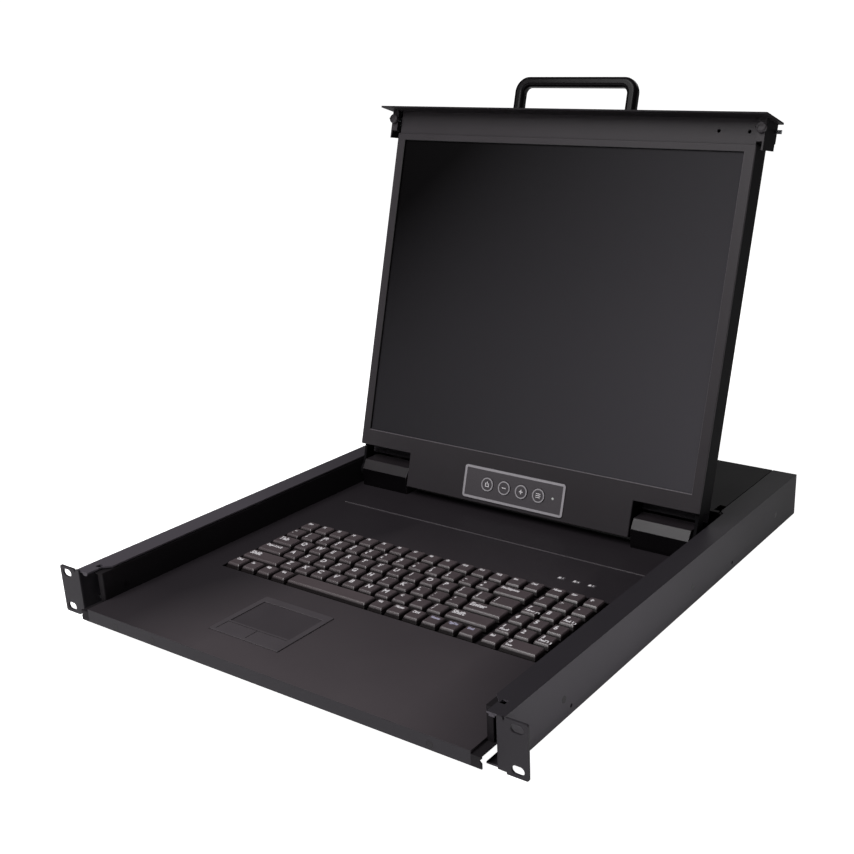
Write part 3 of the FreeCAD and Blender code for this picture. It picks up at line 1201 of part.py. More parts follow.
def build():
    """Make every piece."""
    both_sides("side_rail", side_rail())
    both_sides("rack_ear", rack_ear())
    nodes["rear_top_cover"] = rear_cover()
    nodes["rear_floor"] = rear_floor()
    nodes["rear_panel"] = rear_panel()
    nodes["power_inlet"] = power_inlet()
    nodes["console_ports"] = console_ports()
    nodes["main_board"] = main_board()
    nodes["power_supply"] = power_supply()
    both_sides("outer_slide", outer_slide())
    nodes["chassis_screws"] = screws(both(RAIL_SCREWS) + COVER_SCREWS)
    both_sides("middle_slide", middle_slide())
    both_sides("inner_slide", inner_slide())
    both_sides("drawer_side", drawer_side())
    nodes["keyboard_tray"] = keyboard_tray()
    nodes["drawer_base"] = drawer_base()
    nodes["keyboard_plate"] = keyboard_plate()
    nodes["touchpad_bezel"] = touchpad_bezel()
    nodes["touchpad_surface"] = touchpad_surface()
    nodes["indicator_lenses"] = Part.makeCompound([lens(i, 0) for i in range(LENS_COUNT)])
    nodes["drawer_screws"] = screws(LIP_SCREWS + both(BOSS_SCREWS + WALL_SCREW) + both(FOOT_SCREWS))
    both_sides("hinge_base", hinge_base())
    both_sides("hinge_cover", hinge_cover())
    groups = {}
    for name, x, y, width in key_frames():
        groups.setdefault(name, []).append(keycap(x, y, width))
    for name, caps in groups.items():
        nodes[name] = Part.makeCompound(caps)
    nodes["left_touch_button"] = touch_button(-1)
    nodes["right_touch_button"] = touch_button(1)
    nodes["lid_bezel"] = lid_place(lid_bezel())
    nodes["lid_back_cover"] = lid_place(lid_back_cover())
    nodes["screen_glass"] = lid_place(screen_glass())
    nodes["lcd_module"] = lid_place(lcd_module_with_seats())
    nodes["display_board"] = lid_place(display_board())
    nodes["button_board"] = lid_place(button_board())
    nodes["osd_panel"] = lid_place(osd_panel())
    nodes["osd_lamp"] = lid_place(osd_lamp())
    for number, x in enumerate(osd_places(), 1):
        nodes["osd_button_%d" % number] = lid_place(osd_button(x))
    nodes["front_plate"] = lid_place(front_plate())
    nodes["handle"] = lid_place(handle())
    nodes["lid_screws"] = screws(LID_SCREWS, lid_place)
    both_sides("latch_bracket", lid_place(latch_bracket()))
    both_sides("latch_bolt", lid_place(latch_bolt()))
    both_sides("hinge_arm", lid_place(hinge_arm()))


def lcd_module_with_seats():
    """Display module with the seats of its four screws."""
    module = lcd_module()
    for head, along, length in LID_SCREWS:
        module = module.cut(screw_seat(head, along, length))
    return module


def place(shape):
    """Move a finished piece so the rack slot pattern is centred on the origin."""
    shape = shape.copy()
    shape.translate(V(0, 0, -UNIT_MID))
    return shape


build()
os.makedirs("parts", exist_ok=True)
for node, solid in nodes.items():
    place(solid).exportStep("parts/%s.step" % node)
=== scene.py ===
import json
import math
import bpy
from bpy.props import FloatProperty, FloatVectorProperty, PointerProperty
from mathutils import Matrix, Vector

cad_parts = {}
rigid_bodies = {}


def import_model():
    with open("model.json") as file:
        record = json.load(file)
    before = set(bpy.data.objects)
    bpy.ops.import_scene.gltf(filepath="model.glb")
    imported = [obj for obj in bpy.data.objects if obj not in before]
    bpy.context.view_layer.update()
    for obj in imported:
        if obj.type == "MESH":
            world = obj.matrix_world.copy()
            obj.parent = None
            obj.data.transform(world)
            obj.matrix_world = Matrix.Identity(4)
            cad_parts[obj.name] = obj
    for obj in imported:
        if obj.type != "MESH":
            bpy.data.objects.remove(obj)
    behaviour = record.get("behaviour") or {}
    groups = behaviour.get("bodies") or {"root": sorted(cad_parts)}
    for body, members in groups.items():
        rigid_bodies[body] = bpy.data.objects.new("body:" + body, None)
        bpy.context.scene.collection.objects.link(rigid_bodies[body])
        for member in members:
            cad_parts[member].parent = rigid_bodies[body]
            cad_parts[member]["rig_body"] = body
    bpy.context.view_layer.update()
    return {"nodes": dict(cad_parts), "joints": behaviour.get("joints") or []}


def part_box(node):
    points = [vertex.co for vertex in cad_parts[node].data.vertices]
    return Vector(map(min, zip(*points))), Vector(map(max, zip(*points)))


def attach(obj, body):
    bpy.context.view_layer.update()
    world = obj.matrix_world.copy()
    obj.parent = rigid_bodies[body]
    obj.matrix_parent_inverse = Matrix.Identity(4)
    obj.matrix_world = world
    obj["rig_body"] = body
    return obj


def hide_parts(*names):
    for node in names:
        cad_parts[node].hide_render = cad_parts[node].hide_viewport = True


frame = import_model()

bl_info = {
    "name": "Rackmount console drawer",
    "version": (1, 0, 0),
    "blender": (4, 5, 0),
    "location": "View3D > Sidebar > Console",
    "description": "Dresses the console drawer with its keys, panels, finishes and stage",
    "category": "Object",
}

NODES = frame["nodes"]
MM = 0.001
# Heights in this file are in millimetres above the chassis underside, which lies
# this far below the slot centre.
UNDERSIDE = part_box("right_side_rail")[0].z
HINGE = next(j for j in frame["joints"] if j["name"] == "lid_hinge")
PRESS = next(j for j in frame["joints"] if j["name"] == "osd_button_1_press")
LID_TILT = math.atan2(-PRESS["axis"][2], PRESS["axis"][1])
AXIS_DEPTH = 11.0
AXIS_BELOW = 44.5
# Lid frame in millimetres: x across, d the depth behind the bezel face and s the
# height above the screen opening. The hinge axis lies at AXIS_DEPTH and AXIS_BELOW in it.
LID = (Matrix.Translation(HINGE["pos_m"]) @ Matrix.Rotation(-LID_TILT, 4, "X")
       @ Matrix.Translation((0, -AXIS_DEPTH * MM, AXIS_BELOW * MM)) @ Matrix.Scale(MM, 4))
FROM_LID = LID.inverted()
BASE = Matrix.Translation((0, 0, UNDERSIDE)) @ Matrix.Scale(MM, 4)
FROM_BASE = BASE.inverted()

# Screen opening in the lid frame: half width, lower and upper edge, and the search margin.
OPENING_HALF, OPENING_LOW, OPENING_HIGH = 188.6, 0.0, 304.2
OPENING_NEAR = 0.9
OPENING_DEPTH = 2.0
# Height in the lid frame where the top plate turns forward, and the depth of its rear flange.
PLATE_TURN_S = 332.6
PLATE_FLANGE_D = 8.0

# Tray: the lip's face and the front edge of the raised deck.
LIP_FACE_Y = -7.9
DECK_EDGE_Y = (291, 293)
TRAY_PRINT_Z = 15.0

# Keyboard: the corner of the first key, the gap before the keypad and the keycap's shape.
KEYS_X, KEYS_Y = -167.0, 115.0
KEYPAD_GAP = 3.4
KEY_BOTTOM, KEY_TOP = 13.0, 17.9
KEY_TAPER = 3.8
KEY_LEAN = 1.3
KEY_RIM = 1.7
KEY_ROUND = 1.0
# Legends: their place from the cap's rear left corner, their height over it and their stroke.
LEGEND_RIGHT, LEGEND_DOWN, LEGEND_OVER = 3.1, 3.2, 0.03
LEGEND_BOLD = 0.32
# Share of the legend size for a long word, a word on a narrow or a wide key, and two lines.
LONG_WORD, NARROW_WORD, WIDE_WORD, TWO_LINES = 0.58, 0.55, 0.95, 0.75
# The keys of the front row from the right of this place on have violet legends.
VIOLET_X = 40

# Indicators: the first lens and the pitch. A printed padlock and a letter stand behind each
# lens centre, given here across from the lens and deep on the tray.
LENS_X, LENS_PITCH = 113.0, 15.4
LOCK_LEFT, LOCK_RIGHT, LOCK_FRONT, LOCK_REAR = -2.9, -0.2, 249.6, 251.7
BOW_X, BOW_Y, BOW_R, BOW_WIRE_R = -1.55, 251.8, 0.8, 0.28
LETTER_X, LETTER_Y, LETTER_SIZE, LETTER_BOLD = 0.6, 252.9, 3.6, 0.08

# Label panel on the lid: its size, its centre, its corner and the faces of the prints.
LABEL_SIZE = (118.4, 32.9)
LABEL_S, LABEL_CORNER = -31.75, 2.8
LABEL_PRINT_D = -0.83
BUTTON_S, BUTTON_PITCH, BUTTON_PRINT_D = -31.5, 20.2, -1.63
RING_OUTER, RING_INNER = 6.9, 5.7

# Latch bolts: the knob's face, its stem and the rim round its hollow.
KNOB_FACE_D, KNOB_STEM_D, KNOB_RIM = -6.1, -3.2, 1.3

# Power inlet: its middle from the slot centre, and the space round the three blades.
INLET_X, INLET_Z = -165, 0
BLADES_WIDE, BLADES_HIGH, BLADES_Y = 8.5, 5, (519, 532)

# A coat with painted shade at the sides starts to darken at this distance from its lighter
# middle, in metres, and reaches its full painted shade at this distance out.
PAINTED_SHADE_ACROSS = (0.1, 0.19)

# Shares of a face's normal along an axis: square to it, and slanted to it.
SQUARE, STEEP, SLANTED = 0.9, 0.5, 0.2

# Studio: the strength of the backdrop, the dim room and the floor, which shows brighter than
# it lights. The camera's turn, lens, shift and place are those fitted to the photograph.
BACKDROP, ROOM = 1.1, 0.08
FLOOR_LIGHTS, FLOOR_SHOWS = 0.35, 1.08
CAMERA_YAW, CAMERA_PITCH, CAMERA_ROLL = 0.5824, -0.3511, -0.018
CAMERA_LENS, CAMERA_SHIFT = 48.76, (-0.118, 0.0485)
CAMERA_PLACE = (0.59965, -0.53875, 0.436585)
LIGHTS_AIM = (0, 0.2, 0.1)


def colour(hex_value):
    """Linear colour from an sRGB hex value."""
    channels = [int(hex_value[i:i + 2], 16) / 255 for i in (1, 3, 5)]
    linear = [c / 12.92 if c < 0.04045 else ((c + 0.055) / 1.055) ** 2.4 for c in channels]
    return tuple(linear) + (1.0,)


def add(tree, kind, values=None, links=None, **settings):
    """Add one node with its settings, socket values and links."""
    node = tree.nodes.new(kind)
    for key, value in settings.items():
        setattr(node, key, value)
    for key, value in (values or {}).items():
        node.inputs[key].default_value = value
    for key, socket in (links or {}).items():
        tree.links.new(socket, node.inputs[key])
    return node


def finish(name, **sockets):
    """New material with plain values set on its shader, and its object coordinates."""
    material = bpy.data.materials.new(name)
    material.use_nodes = True
    tree = material.node_tree
    shader = tree.nodes["Principled BSDF"]
    for key, value in sockets.items():
        shader.inputs[key.replace("_", " ")].default_value = value
    place = add(tree, "ShaderNodeTexCoord").outputs["Object"]
    return material, tree, shader, place


def powder_coated_steel(name, low, high, rough, grit, sheen, rear_painted_shade=None):
    """Sheet steel with a baked powder coat: a satin skin with a fine orange peel of that grit."""
    # The eye sees a broad soft sheen, a faint grain and a slightly uneven gloss. The
    # rough skin hides part of the mirror reflection, which the sheen sets. The last argument
    # gives the colour, start and end of a painted shade that darkens the coat towards the
    # rear, its share at both sides and how much the lighter middle is set off to the right.
    material, tree, shader, place = finish(name, IOR=1.5, Specular_IOR_Level=sheen)
    cloud = add(tree, "ShaderNodeTexNoise", {"Scale": 18.0, "Detail": 3.0, "Roughness": 0.5},
                {"Vector": place})
    grain = add(tree, "ShaderNodeTexNoise", {"Scale": 1 / grit, "Detail": 2.0, "Roughness": 0.6},
                {"Vector": place})
    blend = add(tree, "ShaderNodeMath", {1: 0.35}, {0: grain.outputs["Fac"]},
                operation="MULTIPLY")
    total = add(tree, "ShaderNodeMath", {1: 0.65, 2: 0.0},
                {0: cloud.outputs["Fac"], 2: blend.outputs[0]}, operation="MULTIPLY_ADD")
    shade = add(tree, "ShaderNodeMix", {6: low, 7: high}, {0: total.outputs[0]},
                data_type="RGBA")
    if rear_painted_shade:
        # Painted shade: the coat darkens towards the rear and to both sides, round a lighter middle
        # set off to the right.
        tone, start, end, share, lean = rear_painted_shade
        axes = add(tree, "ShaderNodeSeparateXYZ", {}, {0: place})
        depth = add(tree, "ShaderNodeMapRange", {1: start, 2: end}, {0: axes.outputs["Y"]})
        aside = add(tree, "ShaderNodeMath", {1: -lean}, {0: axes.outputs["X"]})
        across = add(tree, "ShaderNodeMath", {}, {0: aside.outputs[0]}, operation="ABSOLUTE")
        edge = add(tree, "ShaderNodeMapRange", {1: PAINTED_SHADE_ACROSS[0], 2: PAINTED_SHADE_ACROSS[1], 4: share},
                   {0: across.outputs[0]})
        painted_shade_share = add(tree, "ShaderNodeMath", {}, {0: depth.outputs[0], 1: edge.outputs[0]},
                   operation="ADD", use_clamp=True)
        shade = add(tree, "ShaderNodeMix", {7: tone},
                    {0: painted_shade_share.outputs[0], 6: shade.outputs[2]}, data_type="RGBA")
    gloss = add(tree, "ShaderNodeMapRange", {3: rough - 0.05, 4: rough + 0.06},
                {0: total.outputs[0]})
    peel = add(tree, "ShaderNodeBump", {"Strength": 0.35, "Distance": grit * 0.05},
               {"Height": grain.outputs["Fac"]})
    tree.links.new(shade.outputs[2], shader.inputs["Base Color"])
    tree.links.new(gloss.outputs[0], shader.inputs["Roughness"])
    tree.links.new(peel.outputs[0], shader.inputs["Normal"])
    return material


def moulded_abs(name, low, high, rough, spark, sheen, skirt_painted_shade=None):
    """Moulded ABS with a fine spark-eroded grain of that size."""
    # The eye sees a dull even plastic whose grain breaks up the highlights. The skirt argument
    # gives the colour, bottom and top of a painted shade on the lower part that stands in its
    # neighbours' shade; there the sheen is lowered too.
    material, tree, shader, place = finish(name, IOR=1.54, Specular_IOR_Level=sheen)
    grain = add(tree, "ShaderNodeTexVoronoi", {"Scale": 1 / spark}, {"Vector": place})
    cloud = add(tree, "ShaderNodeTexNoise", {"Scale": 30.0, "Detail": 2.0}, {"Vector": place})
    shade = add(tree, "ShaderNodeMix", {6: low, 7: high}, {0: cloud.outputs["Fac"]},
                data_type="RGBA")
    gloss = add(tree, "ShaderNodeMapRange", {3: rough - 0.04, 4: rough + 0.05},
                {0: cloud.outputs["Fac"]})
    if skirt_painted_shade:
        tone, bottom, top = skirt_painted_shade
        # Painted shade: lower down, the part both darkens and loses its sheen.
        axes = add(tree, "ShaderNodeSeparateXYZ", {}, {0: place})
        height = add(tree, "ShaderNodeMapRange", {1: bottom, 2: top}, {0: axes.outputs["Z"]})
        painted_shade_sheen = add(tree, "ShaderNodeMapRange", {1: bottom, 2: top, 3: sheen * 0.1, 4: sheen},
                     {0: axes.outputs["Z"]})
        tree.links.new(painted_shade_sheen.outputs[0], shader.inputs["Specular IOR Level"])
        shade = add(tree, "ShaderNodeMix", {6: tone},
                    {0: height.outputs[0], 7: shade.outputs[2]}, data_type="RGBA")
    pits = add(tree, "ShaderNodeBump", {"Strength": 0.25, "Distance": spark * 0.08},
               {"Height": grain.outputs["Distance"]})
    tree.links.new(shade.outputs[2], shader.inputs["Base Color"])
    tree.links.new(gloss.outputs[0], shader.inputs["Roughness"])
    tree.links.new(pits.outputs[0], shader.inputs["Normal"])
    return material


def plated_steel(name, low, high, rough, drawn):
    """Zinc-plated steel with fine rolling lines along its length, that far apart."""
    # The eye sees a cool grey metal with streaks along the rolled strip and small spangles.
    material, tree, shader, place = finish(name, Metallic=1.0)
    stretch = add(tree, "ShaderNodeMapping", {"Scale": (1.0, 0.02, 1.0)}, {"Vector": place})
    lines = add(tree, "ShaderNodeTexNoise", {"Scale": 1 / drawn, "Detail": 2.0},
                {"Vector": stretch.outputs[0]})
    spangle = add(tree, "ShaderNodeTexVoronoi", {"Scale": 260.0}, {"Vector": place})
    mixed = add(tree, "ShaderNodeMath", {1: 0.3, 2: 0.0},
                {0: spangle.outputs["Distance"], 2: lines.outputs["Fac"]}, operation="MULTIPLY_ADD")
    shade = add(tree, "ShaderNodeMix", {6: low, 7: high}, {0: mixed.outputs[0]},
                data_type="RGBA")
    gloss = add(tree, "ShaderNodeMapRange", {3: rough - 0.06, 4: rough + 0.08},
                {0: mixed.outputs[0]})
    ridges = add(tree, "ShaderNodeBump", {"Strength": 0.15, "Distance": drawn * 0.1},
                 {"Height": lines.outputs["Fac"]})
    tree.links.new(shade.outputs[2], shader.inputs["Base Color"])
    tree.links.new(gloss.outputs[0], shader.inputs["Roughness"])
    tree.links.new(ridges.outputs[0], shader.inputs["Normal"])
    return material


def antiglare_panel(name, low, high):
    """Matt polariser film over a switched-off liquid crystal cell."""
    # The eye sees near black with a painted reflection: a soft grey haze that lightens towards the
    # lower right corner.
    material, tree, shader, place = finish(name, IOR=1.49, Specular_IOR_Level=0.04)
    across = add(tree, "ShaderNodeVectorMath", {1: (0.75, 0.0, -1.0)}, {0: place},
                 operation="DOT_PRODUCT")
    cloud = add(tree, "ShaderNodeTexNoise", {"Scale": 2.5, "Detail": 1.0}, {"Vector": place})
    drift = add(tree, "ShaderNodeMath", {1: 0.12, 2: 0.0},
                {0: cloud.outputs["Fac"], 2: across.outputs["Value"]}, operation="MULTIPLY_ADD")
    painted_reflection_haze = add(tree, "ShaderNodeMapRange", {1: -0.36, 2: 0.15}, {0: drift.outputs[0]})
    sparkle = add(tree, "ShaderNodeTexNoise", {"Scale": 2500.0, "Detail": 1.0}, {"Vector": place})
    shade = add(tree, "ShaderNodeMix", {6: low, 7: high}, {0: painted_reflection_haze.outputs[0]},
                data_type="RGBA")
    gloss = add(tree, "ShaderNodeMapRange", {3: 0.34, 4: 0.42}, {0: sparkle.outputs["Fac"]})
    tree.links.new(shade.outputs[2], shader.inputs["Base Color"])
    tree.links.new(gloss.outputs[0], shader.inputs["Roughness"])
    return material


def printed_ink(name, low, high, rough):
    """Screen-printed ink with a slightly uneven edge-to-edge cover."""
    material, tree, shader, place = finish(name, IOR=1.48)
    cover = add(tree, "ShaderNodeTexNoise", {"Scale": 900.0, "Detail": 2.0}, {"Vector": place})
    shade = add(tree, "ShaderNodeMix", {6: low, 7: high}, {0: cover.outputs["Fac"]},
                data_type="RGBA")
    gloss = add(tree, "ShaderNodeMapRange", {3: rough, 4: rough + 0.08}, {0: cover.outputs["Fac"]})
    tree.links.new(shade.outputs[2], shader.inputs["Base Color"])
    tree.links.new(gloss.outputs[0], shader.inputs["Roughness"])
    return material


def board_laminate(name, low, high, mask):
    """Glass-epoxy circuit board under a green solder mask with a woven print-through."""
    material, tree, shader, place = finish(name, IOR=1.5, Coat_Weight=0.3, Coat_Roughness=0.25)
    weave = add(tree, "ShaderNodeTexWave", {"Scale": 1 / mask, "Distortion": 0.4},
                {"Vector": place})
    tracks = add(tree, "ShaderNodeTexVoronoi", {"Scale": 180.0}, {"Vector": place},
                 distance="MANHATTAN")
    shade = add(tree, "ShaderNodeMix", {6: low, 7: high}, {0: tracks.outputs["Distance"]},
                data_type="RGBA")
    gloss = add(tree, "ShaderNodeMapRange", {3: 0.38, 4: 0.5}, {0: weave.outputs["Fac"]})
    tree.links.new(shade.outputs[2], shader.inputs["Base Color"])
    tree.links.new(gloss.outputs[0], shader.inputs["Roughness"])
    return material


def lens_plastic(name, low, high):
    """Clear tinted polycarbonate lens over an unlit lamp."""
    material, tree, shader, place = finish(name, IOR=1.58, Coat_Weight=0.5, Coat_Roughness=0.08)
    depth = add(tree, "ShaderNodeTexNoise", {"Scale": 400.0, "Detail": 1.0}, {"Vector": place})
    shade = add(tree, "ShaderNodeMix", {6: low, 7: high}, {0: depth.outputs["Fac"]},
                data_type="RGBA")
    gloss = add(tree, "ShaderNodeMapRange", {3: 0.16, 4: 0.24}, {0: depth.outputs["Fac"]})
    tree.links.new(shade.outputs[2], shader.inputs["Base Color"])
    tree.links.new(gloss.outputs[0], shader.inputs["Roughness"])
    return material


FINISHES = {}
# Shares of the powder coat's colour: its lighter spots, and its darker mixes, which are painted
# shade for surfaces in the shade.
COAT_LIGHT, COAT_DARK, COAT_SHADE = 1.25, 0.36, 0.5
PLASTIC_LIGHT = 1.3


def finishes():
    """Make every finish once, from the colours of the add-on's settings."""
    c = bpy.context.scene.console_colours
    steel, light_steel, dark_steel, shade_steel = (
        tuple(x * share for x in c.steel) + (1.0,)
        for share in (1.0, COAT_LIGHT, COAT_DARK, COAT_SHADE))
    plastic, light_plastic = (
        tuple(x * share for x in c.plastic) + (1.0,) for share in (1.0, PLASTIC_LIGHT))
    coats = powder_coated_steel
    # Each row: the finish's name here, its maker, its material's name, its two colours and
    # the maker's other values.
    table = (
        # The chassis coat and the tray coat carry a painted shade that darkens them towards the
        # rear, and the tray's also towards its sides.
        ("chassis", coats, "powder_coated_chassis_steel_with_painted_shade", steel, light_steel, 0.5, 0.0009, 0.16,
         (dark_steel, 0.18, 0.5, 0.0, 0.0)),
        # This darker copy of the chassis coat is painted shade for surfaces in the shade.
        ("painted_shade_coat", coats, "powder_coat_in_painted_shade", dark_steel, shade_steel, 0.5, 0.0009,
         0.16),
        # This deep dark coat is painted shade for surfaces deep in the shade.
        ("inner", coats, "powder_coat_in_painted_deep_shade", "#1b191b", "#242124", 0.55, 0.0009, 0.1),
        # This lighter coat is a painted highlight on edges that catch the light.
        ("edge", coats, "powder_coat_painted_highlight", "#575256", "#645f64", 0.42, 0.0009, 0.4),
        ("tray", coats, "powder_coated_tray_steel_with_painted_shade", "#453f43", "#504a4d", 0.5, 0.0009, 0.3,
         (colour("#262226"), 0.0, 0.3, 0.8, 0.03)),
        ("lid", coats, "satin_painted_lid_steel", "#312d30", "#393639", 0.46, 0.0007, 0.2),
        # This dark paint is the hinges' own, and also painted shade on faces turned from the light.
        ("back", coats, "dull_back_paint_and_painted_shade", "#0e0d0f", "#141315", 0.62, 0.0007, 0.05),
        # The handle's black also serves as painted shade on the hinge covers' front faces.
        ("handle", moulded_abs, "glass_filled_nylon_handle_and_painted_shade", "#080608", "#0d0b0d", 0.26, 0.0008,
         0.12),
        ("plastic", moulded_abs, "moulded_abs_black", plastic, light_plastic, 0.4, 0.0006, 0.4),
        # The keys' last value is a painted shade on their lower sides.
        ("key", moulded_abs, "keycap_abs_black", "#4b4144", "#574d50", 0.36, 0.0005, 1.0,
         (colour("#1a1617"), -0.0063, -0.0049)),
        ("pad_frame", moulded_abs, "moulded_abs_dark_grey", "#464145", "#504b4f", 0.4, 0.0006, 0.4),
        ("pad", moulded_abs, "touch_film_polyester", "#3a3539", "#423d41", 0.42, 0.0008, 0.5),
        ("zinc", plated_steel, "zinc_plated_slide_steel", "#8b8e92", "#c4c7cb", 0.34, 0.0006),
        ("screw", plated_steel, "black_zinc_screw_steel", "#2c2a2c", "#3e3c3e", 0.42, 0.0005),
        ("contact", plated_steel, "nickel_plated_brass", "#a8a39a", "#d6d1c6", 0.25, 0.0004),
        ("screen", antiglare_panel, "antiglare_polariser", "#080708", "#454347"),
        # This black is painted shade on the screen opening's left and upper walls.
        ("mask", moulded_abs, "black_painted_shade", "#060606", "#0a0a0a", 0.35, 0.0008, 0.3),
        ("label", printed_ink, "label_film_polyester", "#494549", "#534f53", 0.36),
        ("white_ink", printed_ink, "white_legend_ink", "#dcd7db", "#f2eff2", 0.4),
        ("grey_ink", printed_ink, "grey_border_ink", "#9a969b", "#b3afb4", 0.36),
        ("blue_ink", printed_ink, "violet_legend_ink", "#a7a4be", "#bdbace", 0.4),
        ("board", board_laminate, "green_circuit_board", "#0e3a20", "#1b5c33", 0.0008),
        ("module", plated_steel, "bright_module_steel", "#8f9194", "#bcbec1", 0.3, 0.0009),
        ("lens", lens_plastic, "clear_lens_polycarbonate", "#55565a", "#7a7c82"),
        ("lamp", lens_plastic, "lamp_lens_polycarbonate", "#a9acaa", "#d5d8d4"))
    for key, make, name, low, high, *others in table:
        low, high = (colour(tone) if isinstance(tone, str) else tone for tone in (low, high))
        FINISHES[key] = make(name, low, high, *others)


def only(piece):
    """Make this the one selected and active object."""
    bpy.ops.object.select_all(action="DESELECT")
    piece.select_set(True)
    bpy.context.view_layer.objects.active = piece


def apply_all(piece):
    """Apply every modifier of a piece."""
    only(piece)
    for modifier in list(piece.modifiers):
        bpy.ops.object.modifier_apply(modifier=modifier.name)


def soften(piece, width, segments=2, angle=28):
    """Round the hard edges of a piece and shade it so that its flats stay flat."""
    bevel = piece.modifiers.new("edges", "BEVEL")
    bevel.width = width * MM
    bevel.segments = segments
    bevel.limit_method = "ANGLE"
    bevel.angle_limit = math.radians(angle)
    bevel.use_clamp_overlap = True
    apply_all(piece)
    shade(piece)


def shade(piece, angle=48):
    """Smooth shading with weighted normals."""
    only(piece)
    bpy.ops.object.shade_smooth_by_angle(angle=math.radians(angle))
    weighted = piece.modifiers.new("normals", "WEIGHTED_NORMAL")
    weighted.keep_sharp = True
    apply_all(piece)


def dress(piece, finish_name, body):
    """Give a finished piece its material and its body."""
    piece.data.materials.clear()
    piece.data.materials.append(FINISHES[finish_name])
    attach(piece, body)
    return piece


def body_of(node):
    """Body that a CAD node rides on."""
    return NODES[node]["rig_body"]


def clean_copy(node, name):
    """Copy of a CAD node with its triangles merged into plain faces."""
    piece = bpy.data.objects.new(name, NODES[node].data.copy())
    bpy.context.scene.collection.objects.link(piece)
    only(piece)
    bpy.ops.mesh.customdata_custom_splitnormals_clear()
    bpy.ops.object.mode_set(mode="EDIT")
    bpy.ops.mesh.select_all(action="SELECT")
    bpy.ops.mesh.remove_doubles(threshold=0.000002)
    bpy.ops.mesh.dissolve_limited(angle_limit=math.radians(0.4))
    bpy.ops.object.mode_set(mode="OBJECT")
    return piece


def fold(node, finish_name, radius, segments=2):
    """Replace a CAD node by a copy with rounded edges, or with its own for a radius of 0."""
    piece = clean_copy(node, node + "_formed")
    if radius:
        soften(piece, radius, segments)
    else:
        shade(piece)
    dress(piece, finish_name, body_of(node))
    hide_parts(node)
    return piece


def coat(node, finish_name):
    """Give a CAD node its finish."""
    mesh = NODES[node].data
    mesh.materials.clear()
    mesh.materials.append(FINISHES[finish_name])


def join(pieces, name):
    """Join pieces into the first one."""
    bpy.ops.object.select_all(action="DESELECT")
    for piece in pieces:
        piece.select_set(True)
    bpy.context.view_layer.objects.active = pieces[0]
    if len(pieces) > 1:
        bpy.ops.object.join()
    pieces[0].name = name
    return pieces[0]


def paint(piece, finish_name):
    """Give a loose part its material before it is joined."""
    piece.data.materials.clear()
    piece.data.materials.append(FINISHES[finish_name])
    return piece


def faces_where(piece, test):
    """Select the faces whose centre and normal pass a test, in edit mode."""
    bpy.ops.object.mode_set(mode="EDIT")
    bpy.ops.mesh.select_mode(type="FACE")
    bpy.ops.mesh.select_all(action="DESELECT")
    bpy.ops.object.mode_set(mode="OBJECT")
    for face in piece.data.polygons:
        face.select = bool(test(face.center, face.normal))
    bpy.ops.object.mode_set(mode="EDIT")


def tint(piece, finish_name, test):
    """Give the faces whose centre and normal pass a test another finish."""
    piece.data.materials.append(FINISHES[finish_name])
    for face in piece.data.polygons:
        if test(face.center, face.normal):
            face.material_index = len(piece.data.materials) - 1


def block(name, low, high):
    """Cube primitive stretched between two corners, in millimetres."""
    bpy.ops.object.select_all(action="DESELECT")
    centre = [(a + b) / 2 for a, b in zip(low, high)]
    bpy.ops.mesh.primitive_cube_add(size=1, location=centre)
    piece = bpy.context.object
    piece.name = name
    piece.scale = [b - a for a, b in zip(low, high)]
    bpy.ops.object.transform_apply(location=True, rotation=True, scale=True)
    return piece


def words(body, size, bold=0.0):
    """Flat letters as a mesh, centred on the origin, in millimetres."""
    bpy.ops.object.select_all(action="DESELECT")
    bpy.ops.object.text_add()
    text = bpy.context.object
    text.data.body = body
    text.data.size = size
    text.data.resolution_u = 3
    text.data.offset = bold
    text.data.align_x = "LEFT"
    text.data.align_y = "TOP"
    bpy.ops.object.convert(target="MESH")
    return bpy.context.object


# The keyboard's rows from the front: their zone, the widths in key pitches and the legends.
ROWS = (
    ("front_row_keys", (1, 1, 1, 1, 5, 1, 1, 1, 1, 1, 1),
     ("Ctrl", "Fn", "Alt", "Alt", "", "Alt", "Menu", "Ctrl", "Home", "PgDn", "End")),
    ("letter_keys", (2.5,) + (1,) * 10 + (2.5,),
     ("Shift", "Z", "X", "C", "V", "B", "N", "M", "<\n,", ">\n.", "?\n/", "Shift")),
    ("letter_keys", (1.75,) + (1,) * 11 + (2.25,),
     ("Caps Lock", "A", "S", "D", "F", "G", "H", "J", "K", "L", ":\n;", "\"\n'", "Enter")),
    ("letter_keys", (1.5,) + (1,) * 12 + (1.5,),
     ("Tab", "Q", "W", "E", "R", "T", "Y", "U", "I", "O", "P", "{\n[", "}\n]", "|\n\\")),
    ("number_keys", (1,) * 13 + (2,),
     ("~\n`", "!\n1", "@\n2", "#\n3", "$\n4", "%\n5", "^\n6", "&\n7", "*\n8", "(\n9", ")\n0",
      "_\n-", "+\n=", "Backspace")),
    ("function_keys", (1,) * 15,
     ("Esc", "F1", "F2", "F3", "F4", "F5", "F6", "F7", "F8", "F9", "F10", "F11", "F12", "Ins",
      "Del")),
)
KEYPAD = (("Sel", "0\nIns"), ("1\nEnd", "2", "3\nPgDn"), ("4", "5", "6"),
          ("7\nHome", "8", "9\nPgUp"), ("/", "*", "-"), ("Num", "Scr", "+"))


